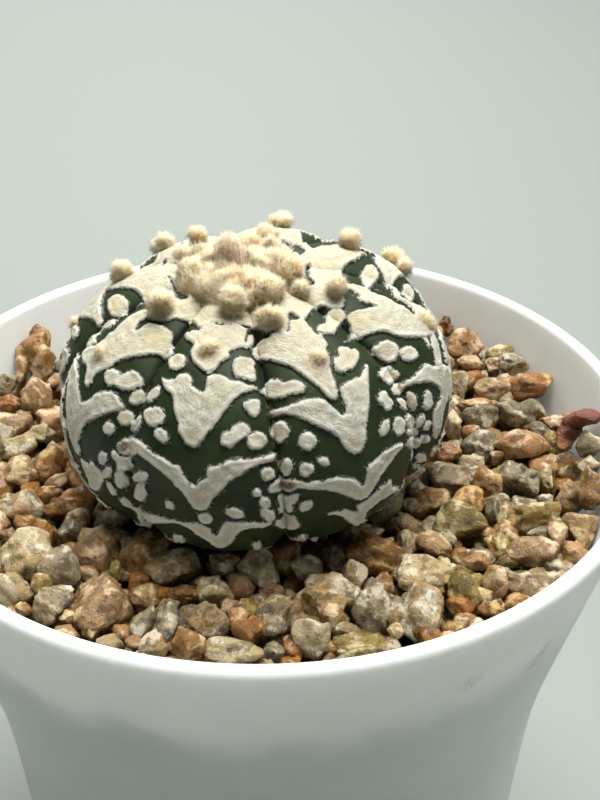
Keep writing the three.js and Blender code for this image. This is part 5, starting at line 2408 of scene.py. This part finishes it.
# The stones of the top layer by kind, with pixels of the photograph as their unit.
PEBBLES: dict[Stone, tuple[tuple[float, ...], ...]] = {
    Stone.OCHRE: (
        (36, 347, 19, 22), (10, 402, 14, 9), (50, 464, 17, 18), (50, 495, 13, 10), (82, 501, 22, 18, -20),
        (52, 511, 10, 8), (47, 537, 11, 18, 20), (182, 594, 18, 10), (246, 633, 17, 16), (292, 648, 10, 13),
        (376, 556, 30, 20), (492, 608, 14, 9), (446, 453, 15, 9), (528, 384, 26, 15, 12), (460, 604, 16, 13),
    ),
    Stone.PEACH: (
        (41, 364, 17, 22), (13, 424, 19, 16), (96, 550, 24, 26), (104, 608, 27, 31, -20),
        (432, 546, 21, 14, -35), (395, 632, 8, 9), (495, 585, 13, 25, -20), (532, 554, 26, 17),
        (575, 555, 15, 16), (476, 561, 13, 9), (520, 446, 27, 16), (451, 424, 14, 23), (559, 423, 18, 11),
        (557, 537, 12, 14), (489, 387, 20, 16), (475, 404, 20, 6), (493, 366, 8, 8), (464, 343, 19, 16),
    ),
    Stone.TAN: (
        (21, 375, 7, 20), (38, 399, 16, 23), (21, 474, 18, 18), (10, 535, 9, 7), (24, 609, 8, 7),
        (70, 617, 10, 7), (146, 557, 27, 21, 38), (142, 596, 17, 13), (188, 643, 18, 19), (453, 628, 11, 8),
        (432, 501, 20, 17), (490, 485, 17, 19), (571, 500, 16, 19), (594, 489, 14, 22), (567, 467, 14, 14),
        (586, 532, 21, 19), (471, 364, 13, 9), (446, 324, 8, 12), (449, 365, 7, 9),
    ),
    Stone.QUARTZ: (
        (21, 508, 25, 19), (128, 543, 12, 8), (60, 568, 21, 22, 35), (14, 590, 21, 17),
        (142, 627, 12, 23, -15), (212, 591, 21, 23), (263, 572, 24, 26), (322, 596, 31, 27),
        (371, 606, 20, 28), (416, 615, 28, 31), (457, 388, 13, 16),
    ),
    Stone.OLIVE: (
        (116, 570, 7, 10), (247, 607, 13, 12), (362, 646, 27, 13), (461, 588, 23, 21), (498, 546, 14, 15),
        (459, 523, 28, 22), (547, 481, 10, 17), (533, 516, 33, 18), (551, 444, 12, 14), (499, 354, 14, 10),
    ),
    Stone.CREAM: (
        (40, 436, 15, 12), (18, 449, 19, 13, 20), (25, 555, 26, 26), (232, 650, 32, 13), (312, 641, 20, 23),
        (406, 543, 11, 14), (425, 575, 30, 19), (60, 594, 13, 9),
    ),
    Stone.GREY: (
        (5, 384, 13, 12), (71, 531, 13, 15), (113, 522, 18, 19), (52, 606, 22, 18), (176, 567, 30, 19, 14),
        (167, 629, 17, 27), (223, 565, 18, 12), (208, 623, 20, 20), (277, 618, 25, 22), (273, 650, 12, 9),
        (304, 568, 18, 13), (333, 557, 13, 15), (353, 577, 14, 17), (366, 533, 18, 11), (345, 630, 16, 11),
        (534, 583, 26, 14), (494, 510, 8, 11), (453, 478, 26, 19), (520, 478, 23, 18), (590, 466, 13, 10),
        (587, 445, 17, 14), (479, 447, 20, 17), (480, 416, 19, 14), (510, 413, 17, 15), (532, 412, 15, 14),
        (540, 535, 12, 8), (513, 364, 16, 11),
    ),
}


@dataclass
class Grit:
    """The top dressing: the photograph's stones, seeded ones elsewhere and small ones in the gaps."""

    pot: Pot = field(default_factory=Pot)
    form: StemForm = field(default_factory=StemForm)
    bed_top: float = 73.0
    slope: float = 0.16
    slope_from: float = -2.0
    slope_to: float = 26.0
    wall_margin: float = 2.2
    stem_level: float = 2.39
    stem_margin: float = -1.2
    pitch: float = 5.6
    jitter: float = 0.9
    lift: float = 0.9
    lift_spread: float = 0.75
    mean_radius: float = 3.7
    radius_spread: float = 0.5
    shown_share: float = 0.92
    corners: int = 8
    seed: int = 41
    seat: float = 1.6
    seat_spread: float = 0.4
    lean_share: float = 0.8
    nearest_sight: float = 90.0
    sight_steps: int = 1400
    apart: float = 0.72
    faces: tuple[int, int] = (9, 14)
    nearest_face: float = 0.66
    ball_limit: float = 1.22
    edge_sharpness: int = 44
    chips: int = 26
    chip_tilt: float = 0.16
    roughness: float = 0.03
    seeded_share: float = 0.92
    pictured_share: float = 1.08
    depth_share: float = 0.45
    wall_gap: float = 0.3
    filler_tries: int = 3200
    filler_reach: float = 39.6
    filler_clear: float = 18.8
    filler_radius: float = 1.4
    filler_spread: float = 0.9
    bed_sides: int = 96
    bed_rings: int = 26
    bed_bottom: float = 65.8
    bed_level: float = 71.0
    bed_hole: float = 11.5
    bed_gap: float = 0.5
    # Painted shade: the bed under the stones is coloured dark so that the gaps between them read as deep
    # shade.
    bed_painted_shade_finish: StoneFinish = StoneFinish(
        srgb(84, 66, 42), srgb(56, 42, 26), srgb(24, 18, 12), srgb(128, 104, 72), srgb(70, 44, 20)
    )
    crumb_spacing: float = 1.9
    crumb_density: float = 5e5
    crumb_least: float = 0.8
    crumb_most: float = 1.5
    crumb_roughness: float = 0.9

    def rise(self, y: Array | float) -> Array | float:
        """How much higher the grit lies at a distance towards the back."""
        return self.slope * (np.clip(y, self.slope_from, self.slope_to) - self.slope_from)

    def places(self) -> list[tuple[Array, float]]:
        """Middles and radii of the main stones, by the solid's seeded rule.

        Returns:
            Middle and radius of each stone.
        """
        dice = Dice(self.seed)
        radius, drop = self.form.meridian(np.array([self.stem_level]))
        waist = self.form.axis_point(drop[0])
        outer = self.pot.bore(self.bed_top) - self.wall_margin
        row_step = self.pitch * math.sqrt(3) / 2
        rows = math.ceil(outer / row_step)
        found = []
        for row in range(-rows, rows + 1):
            for column in range(-rows, rows + 1):
                x = (column + math.fmod(row, 2) / 2) * self.pitch + dice.spread(self.jitter)
                y = row * row_step + dice.spread(self.jitter)
                lift = self.lift + dice.spread(self.lift_spread)
                size = self.mean_radius + dice.spread(self.radius_spread)
                clear = math.hypot(x - waist[0], y - waist[1]) > radius[0] + self.stem_margin
                if math.hypot(x, y) < outer and clear:
                    for _ in range(5 + 2 * self.corners):
                        dice.roll()
                    place = np.array([x, y, self.bed_top + self.rise(y) + lift])
                    found.append((place, size * self.shown_share))
        return found

    def seated(self, pebble: Pebble, dice: Dice) -> tuple[Array, float]:
        """Finds where a stone of the photograph lies on the bed, or leans on the wall.

        Args:
            pebble: The stone.
            dice: Varies its height.

        Returns:
            Its middle, and the length of one pixel there in millimetres.
        """
        eye, aim = VIEW.ray((pebble.x, pebble.y))
        level = self.bed_top + self.seat + dice.spread(self.seat_spread)
        for step in range(self.sight_steps):
            distance = self.nearest_sight + step * VIEW.stride
            place = eye + aim * distance
            pixel = distance / VIEW.focal
            reach = math.hypot(place.x, place.y)
            leaving = place.x * aim.x + place.y * aim.y > 0 and place.z < self.pot.height - 2
            if place.z < level + self.rise(place.y):
                break
            if leaving and reach > self.pot.bore(place.z) - self.lean_share * pebble.wide * pixel:
                break
        return np.array(place), pixel

    def shape(self, directions: Array, rng: np.random.Generator) -> Array:
        """One angular stone of half size one with softened edges and chipped faces.

        Args:
            directions: Directions of the points.
            rng: Draws the faces and chips.

        Returns:
            The points of the stone.
        """
        count = int(rng.integers(*self.faces))
        planes = unit(rng.normal(size=(count, 3)))
        heights = rng.uniform(self.nearest_face, 1.0, count)
        sharp = self.edge_sharpness
        dots = np.maximum(directions @ planes.T, 1e-3) / heights
        reach = (np.sum(dots**sharp, axis=1) + (1 / self.ball_limit) ** sharp) ** (-1 / sharp)
        chips = unit(rng.normal(size=(self.chips, 3)))
        closest = np.argmax(directions @ chips.T, axis=1)
        tilt = rng.normal(size=(self.chips, 3)) * self.chip_tilt
        offset = rng.uniform(-0.045, 0.035, self.chips)
        reach += offset[closest] + np.einsum("ij,ij->i", directions - chips[closest], tilt[closest])
        points = directions * reach[:, None]
        rough = fractal(points * 3.1 + rng.uniform(0, 50, 3), 1.0, 3, 7)
        points = points * (1 + self.roughness * rough)[:, None]
        return points / np.abs(points).max(axis=0)

    def seeded(self, directions: Array, rng: np.random.Generator, radius: float) -> Array:
        """One stone of a radius, squashed and turned at random.

        Args:
            directions: Directions of the points.
            rng: Draws the stone.
            radius: Its radius.

        Returns:
            The points of the stone.
        """
        squash = np.array([rng.uniform(0.98, 1.2), rng.uniform(0.82, 1.0), rng.uniform(0.74, 0.94)])
        angles = rng.uniform(-0.5, 0.5, 2)
        turn = Matrix.Rotation(rng.uniform(0, math.pi), 3, "Z") @ Matrix.Rotation(angles[0], 3, "X")
        turn = np.array(turn @ Matrix.Rotation(angles[1], 3, "Y"))
        return self.shape(directions, rng) * squash @ turn.T * radius * self.seeded_share

    def pictured(self, directions: Array, rng: np.random.Generator, pebble: Pebble, pixel: float) -> Array:
        """One stone with the outline's half sizes and turn that the photograph shows.

        Args:
            directions: Directions of the points.
            rng: Draws the stone.
            pebble: What the photograph shows of it.
            pixel: Millimetres to the pixel there.

        Returns:
            The points of the stone.
        """
        depth = (pebble.wide + pebble.tall) * self.depth_share
        sizes = np.array([pebble.wide, pebble.tall, depth]) * pixel * self.pictured_share
        axes = np.array(VIEW.turn @ Matrix.Rotation(math.radians(pebble.turn), 3, "Z"))
        return self.shape(directions, rng) * sizes @ axes.T

    def kept_in(self, points: Array) -> Array:
        """Holds points inside the pot's wall.

        Args:
            points: Places near the wall.

        Returns:
            The places, moved inwards where they were outside.
        """
        limit = self.pot.bore(points[:, 2]) - self.wall_gap
        reach = np.hypot(points[:, 0], points[:, 1])
        points[:, :2] *= np.minimum(1, limit / np.maximum(reach, 1e-6))[:, None]
        return points

    def kind(self, dice: Dice) -> Stone:
        """Draws the kind of a stone.

        Args:
            dice: Draws it.

        Returns:
            The kind.
        """
        draw = dice.roll()
        for stone, share in STONE_SHARES:
            draw -= share
            if draw < 0:
                return stone
        return Stone.TAN

    def fillers(self, taken: list[tuple[Array, float]]) -> list[tuple[Array, float]]:
        """Middles and radii of the smaller stones that fill the gaps between the others.

        Args:
            taken: Middles and radii of the other stones.

        Returns:
            Middles and radii of the small ones.
        """
        dice = Dice(97)
        waist = self.form.axis_point(-self.form.underside * 0.7)
        found: list[tuple[Array, float]] = []
        spots = [(place[0], place[1], radius) for place, radius in taken]
        for _ in range(self.filler_tries):
            reach = self.filler_reach * math.sqrt(dice.roll())
            angle = dice.roll() * 2 * math.pi
            x, y = reach * math.cos(angle), reach * math.sin(angle)
            size = self.filler_radius + self.filler_spread * dice.roll()
            height = self.bed_top + self.rise(y) - 0.2 + 1.5 * dice.roll()
            if math.hypot(x - waist[0], y - waist[1]) < self.filler_clear + size * 0.5:
                continue
            if all(math.hypot(x - cx, y - cy) > 0.5 * cr + 0.66 * size for cx, cy, cr in spots):
                spots.append((x, y, size))
                found.append((np.array([x, y, height]), size))
        return found

    def build(self) -> None:
        """Lays the bed, the stones and the crumbs."""
        rng = np.random.default_rng(self.seed)
        dice = Dice(67)
        fine, fine_faces = icosphere(4)
        plain, plain_faces = icosphere(3)
        shapes: dict[Stone, list] = {stone: [] for stone in Stone}
        taken: list[tuple[Array, float]] = []
        for stone, rows in PEBBLES.items():
            for row in rows:
                pebble = Pebble(*row)
                place, pixel = self.seated(pebble, dice)
                points = self.kept_in(self.pictured(fine, rng, pebble, pixel) + place)
                shapes[stone].append((points, fine_faces, rng.uniform()))
                taken.append((place, (pebble.wide + pebble.tall) / 2 * pixel))
        for place, radius in self.places():
            if all(math.dist(place[:2], other[:2]) > self.apart * (radius + size) for other, size in taken):
                points = self.kept_in(self.seeded(fine, rng, radius) + place)
                shapes[self.kind(dice)].append((points, fine_faces, rng.uniform()))
                taken.append((place, radius))
        for place, radius in self.fillers(taken):
            points = self.kept_in(self.seeded(plain, rng, radius) + place)
            shapes[self.kind(dice)].append((points, plain_faces, rng.uniform()))
        for number, (stone, group) in enumerate(shapes.items()):
            counts = np.cumsum([0] + [len(points) for points, _, _ in group])
            points = np.vstack([points for points, _, _ in group])
            faces = np.vstack([faces + start for (_, faces, _), start in zip(group, counts)])
            name = f"grit_{stone.value}"
            material = STONE_FINISHES[stone].material(name, 3.0 + 7 * number)
            piece = make_mesh(name, points, faces.tolist(), material)
            tones = [np.full(len(points), tone) for points, _, tone in group]
            give_values(piece, "stone_tone", np.concatenate(tones))
            settle(piece, "grit", "gravel")
        self.bed()

    def bed(self) -> None:
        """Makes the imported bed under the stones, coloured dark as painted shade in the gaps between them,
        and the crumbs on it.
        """
        sides, steps = self.bed_sides, self.bed_rings
        angle = turns(sides)
        waist = self.form.axis_point(-self.form.underside)
        share = np.linspace(0, 1, steps)[:, None]
        outer = self.pot.bore(self.bed_level + self.rise(38 * np.sin(angle))) - self.bed_gap
        reach = self.bed_hole + (outer - self.bed_hole) * share
        x = reach * np.cos(angle) + waist[0] * (1 - share)
        y = reach * np.sin(angle) + waist[1] * (1 - share)
        top = np.stack([x, y, self.bed_level + self.rise(y)], -1).reshape(-1, 3)
        top[:, 2] += 0.5 * fractal(top, 0.5, 3, 13) - 1.2 * smoothstep(19, 12, np.hypot(top[:, 0], top[:, 1]))
        ring_out = polar(float(self.pot.bore(self.bed_bottom)) - self.bed_gap, angle, self.bed_bottom)
        ring_in = top[:sides] * [1, 1, 0] + [0, 0, self.bed_bottom]
        points = np.vstack([ring_in, top, ring_out])
        faces = ring_faces(steps + 2, sides)
        last = (steps + 1) * sides
        for i in range(sides):
            following = (i + 1) % sides
            faces.append([i, following, last + following, last + i])
        # The bed's dark colour is painted shade for the gaps between the stones.
        bed = make_mesh("grit_bed", points, faces, self.bed_painted_shade_finish.material("grit_bed", 51.0))
        give_values(bed, "stone_tone", np.full(len(points), 0.2))
        point_outwards(bed)
        area = make_mesh("crumb_ground", top + [0, 0, 0.6], ring_faces(steps, sides))
        point_outwards(area)
        crumbs = grow(
            "grit_crumbs", area, TREES.crumbs,
            {
                "Spacing": self.crumb_spacing * MM, "Density": self.crumb_density,
                "Smallest": self.crumb_least * MM, "Largest": self.crumb_most * MM,
                "Roughness": self.crumb_roughness * MM, "Seed": 6,
                "Material": STONE_FINISHES[Stone.TAN].material("grit_crumb", 77.0),
            },
        )
        bpy.data.objects.remove(area)
        settle(bed, "grit", "gravel")
        settle(crumbs, "grit", "gravel")


@dataclass(frozen=True)
class SoilFinish:
    """A dark mineral mix with pale bits in it."""

    mix: Colour = srgb(62, 48, 36)
    damp: Colour = srgb(40, 31, 24)
    bits: Colour = srgb(140, 118, 86)
    dust: Colour = srgb(98, 84, 66)

    def material(self) -> Material:
        """Builds the material.

        Returns:
            The material.
        """
        sketch = MaterialSketch("potting_mix")
        coarse = sketch.effect(EFFECTS.mottle, sketch.place(), 300.0, 6.0)
        fine = sketch.effect(EFFECTS.mottle, sketch.place(), 1000.0, 12.0)
        colour = sketch.blend(coarse["Patches"], self.mix, self.damp)
        colour = sketch.blend(coarse["Flecks"] * 0.5, colour, self.bits)
        return sketch.finished({
            "Base Color": sketch.blend(fine["Flecks"] * 0.4, colour, self.dust),
            "Roughness": 0.95,
            "Normal": sketch.bump(coarse["Flecks"] + fine["Crumb"], 0.7, 0.0006),
        })


@dataclass
class Soil:
    """The dark mineral mix that fills the pot under the grit."""

    pot: Pot = field(default_factory=Pot)
    form: StemForm = field(default_factory=StemForm)
    top: float = 65.4
    sides: int = 120
    levels: int = 44
    floor_gap: float = 0.35
    wall_gap: float = 0.5
    hole_radius: float = 7.2
    hole_bottom: float = 36.8
    root_gap: float = 0.15

    def build(self) -> None:
        """Makes the filling with its hole for the root."""
        floor = self.pot.foot_height + self.pot.floor_thickness + self.floor_gap
        foot = self.form.axis_point(-self.form.underside)
        levels = np.linspace(floor + 2.4, self.top - 0.4, self.levels)
        hole = np.interp(levels, [36.0, 38.0, foot[2] - 3], [0.0, 2.2, 6.9])
        angle = turns(self.sides)
        centre = foot * [1, 1, 0]
        rows = [polar(reach, angle, floor) for reach in (0.02, 12.0, 24.0)]
        rows += [polar(self.pot.bore(z) - self.wall_gap, angle, z) for z in levels]
        outer_top = float(self.pot.bore(self.top)) - 0.9
        for share in np.linspace(0, 1, 14):
            reach = outer_top + (self.hole_radius - outer_top) * share
            rows.append(polar(reach, angle, self.top) + centre * share)
        for z, reach in zip(levels[::-1], hole[::-1]):
            if z > self.hole_bottom:
                rows.append(polar(reach + self.root_gap, angle, z) + centre)
        rows.append(polar(0.02, angle, self.hole_bottom) + centre)
        points = np.array(rows).reshape(-1, 3)
        lumps = fractal(points, 0.55, 4, 19)
        reach = np.hypot(points[:, 0], points[:, 1])
        outside = unit(points * [1, 1, 0])
        side = (reach > 30) & (points[:, 2] < self.top - 0.2) & (points[:, 2] > floor + 1)
        points -= outside * np.where(side, 0.25 * (1 + lumps), 0)[:, None]
        points[:, 2] -= np.where((points[:, 2] > self.top - 0.1), 0.3 * (1 + lumps), 0)
        faces = ring_faces(len(rows), self.sides)
        soil = make_mesh("potting_mix", points, faces, SoilFinish().material())
        point_outwards(soil)
        settle(soil, "potting_mix", "soil")


@dataclass(frozen=True)
class BarkFinish:
    """Dry red-brown bark with a slight gloss and a pale broken end."""

    bark: Colour = srgb(126, 62, 40)
    grain: Colour = srgb(74, 34, 26)
    patch: Colour = srgb(150, 92, 58)
    torn: Colour = srgb(190, 134, 84)

    def material(self) -> Material:
        """Builds the material.

        Returns:
            The material.
        """
        sketch = MaterialSketch("dry_bark")
        grain = sketch.effect(EFFECTS.fibres, sketch.place(), 900.0)
        mottle = sketch.effect(EFFECTS.mottle, sketch.place(), 420.0, 21.0)
        colour = sketch.blend(grain["Streaks"], self.bark, self.grain)
        colour = sketch.blend(mottle["Patches"] * 0.4, colour, self.patch)
        return sketch.finished({
            "Base Color": sketch.blend(sketch.attribute("chip_pale"), colour, self.torn),
            "Roughness": 0.38,
            "Normal": sketch.bump(grain["Streaks"] + mottle["Crumb"], 0.5, 0.0003),
        })


@dataclass
class BarkChip:
    """A dry red-brown curl that lies on the grit, thickest in the middle."""

    path: tuple[Triple, ...] = (
        (37.6, 3.4, 76.6), (38.4, 4.6, 78.2), (39.3, 5.0, 79.8), (40.0, 4.2, 81.0), (40.5, 2.9, 81.8),
        (40.8, 1.4, 82.3),
    )
    half_width: float = 1.9
    half_thickness: float = 1.2
    trough_depth: float = 0.45
    ridge_height: float = 0.14
    smoothings: int = 12
    steps: int = 90
    sides: int = 36

    def build(self) -> None:
        """Makes the curl along its path."""
        knots = np.array(self.path)
        share = np.linspace(0, len(knots) - 1, self.steps)
        line = np.stack([np.interp(share, range(len(knots)), knots[:, i]) for i in range(3)], -1)
        for _ in range(self.smoothings):
            line[1:-1] = (line[:-2] + 2 * line[1:-1] + line[2:]) / 4
        ahead = unit(np.gradient(line, axis=0))
        side = unit(np.cross(ahead, [0, 0, 1]))
        up = np.cross(side, ahead)
        along = np.linspace(0, 1, self.steps)
        full = 0.2 + 0.8 * np.sin(math.pi * np.clip(along, 0.01, 0.99)) ** 0.6
        angle = turns(self.sides)
        trough = self.trough_depth * np.clip(np.sin(angle), 0, 1)
        wide = np.cos(angle) * self.half_width
        high = np.sin(angle) * self.half_thickness * (1 - trough * np.exp(-((np.cos(angle) / 0.55) ** 2)))
        points = (
            line[:, None]
            + side[:, None] * (wide * full[:, None])[..., None]
            + up[:, None] * (high * full[:, None])[..., None]
        ).reshape(-1, 3)
        ridges = fractal(points * [0.6, 0.6, 1.5], 1.3, 4, 31)
        points = points + np.repeat(up, self.sides, 0) * (self.ridge_height * ridges)[:, None]
        points, faces = capped(points.reshape(self.steps, self.sides, 3), line[0], line[-1])
        chip = make_mesh("dry_curl", points, faces, BarkFinish().material())
        pale = np.repeat(smoothstep(0.14, 0.02, along), self.sides)
        give_values(chip, "chip_pale", np.concatenate([pale, [1.0, 0.0]]))
        point_outwards(chip)
        settle(chip, "dry_bark", "bark_chip")


@dataclass(frozen=True)
class Lamp:
    """A soft square lamp: its place, what it points at, its width in metres, power and colour."""

    name: str
    place: Triple
    aim: Triple
    size: float
    power: float
    tone: Triple

    def build(self) -> None:
        """Hangs the lamp."""
        light = bpy.data.lights.new(self.name, "AREA")
        light.shape = "SQUARE"
        light.size = self.size
        light.energy = self.power
        light.color = self.tone
        lamp = bpy.data.objects.new(self.name, light)
        lamp.visible_camera = False
        lamp.location = self.place
        lamp.rotation_euler = (Vector(self.aim) - Vector(self.place)).to_track_quat("-Z", "Y").to_euler()
        bpy.context.scene.collection.objects.link(lamp)


@dataclass(frozen=True)
class Studio:
    """A plain pale floor that curves up into a backdrop all round, in metres, under soft lamps."""

    floor_radius: float = 1.6
    floor_hole: float = 0.2
    floor_sides: int = 64
    bend_radius: float = 0.6
    bend_steps: int = 12
    backdrop_height: float = 1.8
    floor_tone: Colour = srgb(134, 141, 136)
    floor_roughness: float = 0.6
    sky: Colour = srgb(230, 234, 232)
    sky_strength: float = 0.12
    lamps: tuple[Lamp, ...] = (
        Lamp("overhead", (0.1, 0.1, 0.95), (0, 0, 0.08), 0.55, 15.0, (1.0, 0.985, 0.95)),
        Lamp("window", (0.4, 0.1, 0.75), (0, 0, 0.08), 0.5, 1.0, (1.0, 0.99, 0.96)),
        Lamp("backdrop", (-0.2, 1.1, 0.8), (-0.2, 0.95, 0), 0.8, 15.0, (1.0, 1.0, 0.98)),
        Lamp("front wall", (0.1, -1.3, 0.9), (0.1, -1.9, 0.5), 0.8, 8.0, (1.0, 1.0, 0.98)),
    )

    def build(self) -> None:
        """Lays the floor, hangs the lamps and sets the sky."""
        sides = self.floor_sides
        bend = np.linspace(0, math.pi / 2, self.bend_steps)
        wall = self.floor_radius + self.bend_radius
        reach = [[self.floor_hole], self.floor_radius + self.bend_radius * np.sin(bend), [wall]]
        level = [[0.0], self.bend_radius * (1 - np.cos(bend)), [self.backdrop_height]]
        sunk = 0.05
        levels = np.concatenate(level) / MM - sunk
        rows = [polar(r, turns(sides), z) for r, z in zip(np.concatenate(reach) / MM, levels)]
        faces = ring_faces(len(rows), sides) + [list(range(sides))]
        surface = {"Base Color": self.floor_tone, "Roughness": self.floor_roughness}
        material = MaterialSketch("floor").finished(surface)
        floor = make_mesh("floor", np.vstack(rows), faces, material)
        for lamp in self.lamps:
            lamp.build()
        world = bpy.data.worlds.new("sky")
        world.use_nodes = True
        background = world.node_tree.nodes["Background"]
        background.inputs[0].default_value = self.sky
        background.inputs[1].default_value = self.sky_strength
        bpy.context.scene.world = world
        bpy.context.scene.view_settings.view_transform = "Standard"


def main() -> None:
    """Builds the potted cactus and its studio."""
    logging.basicConfig(level=logging.INFO, format="%(message)s")
    Studio().build()
    VIEW.build()
    Pot().build()
    Soil().build()
    Grit().build()
    BarkChip().build()
    Stem().build()
    Root().build()
    Wool().build()
    Bud().build()
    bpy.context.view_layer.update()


if __name__ == "__main__":
    main()
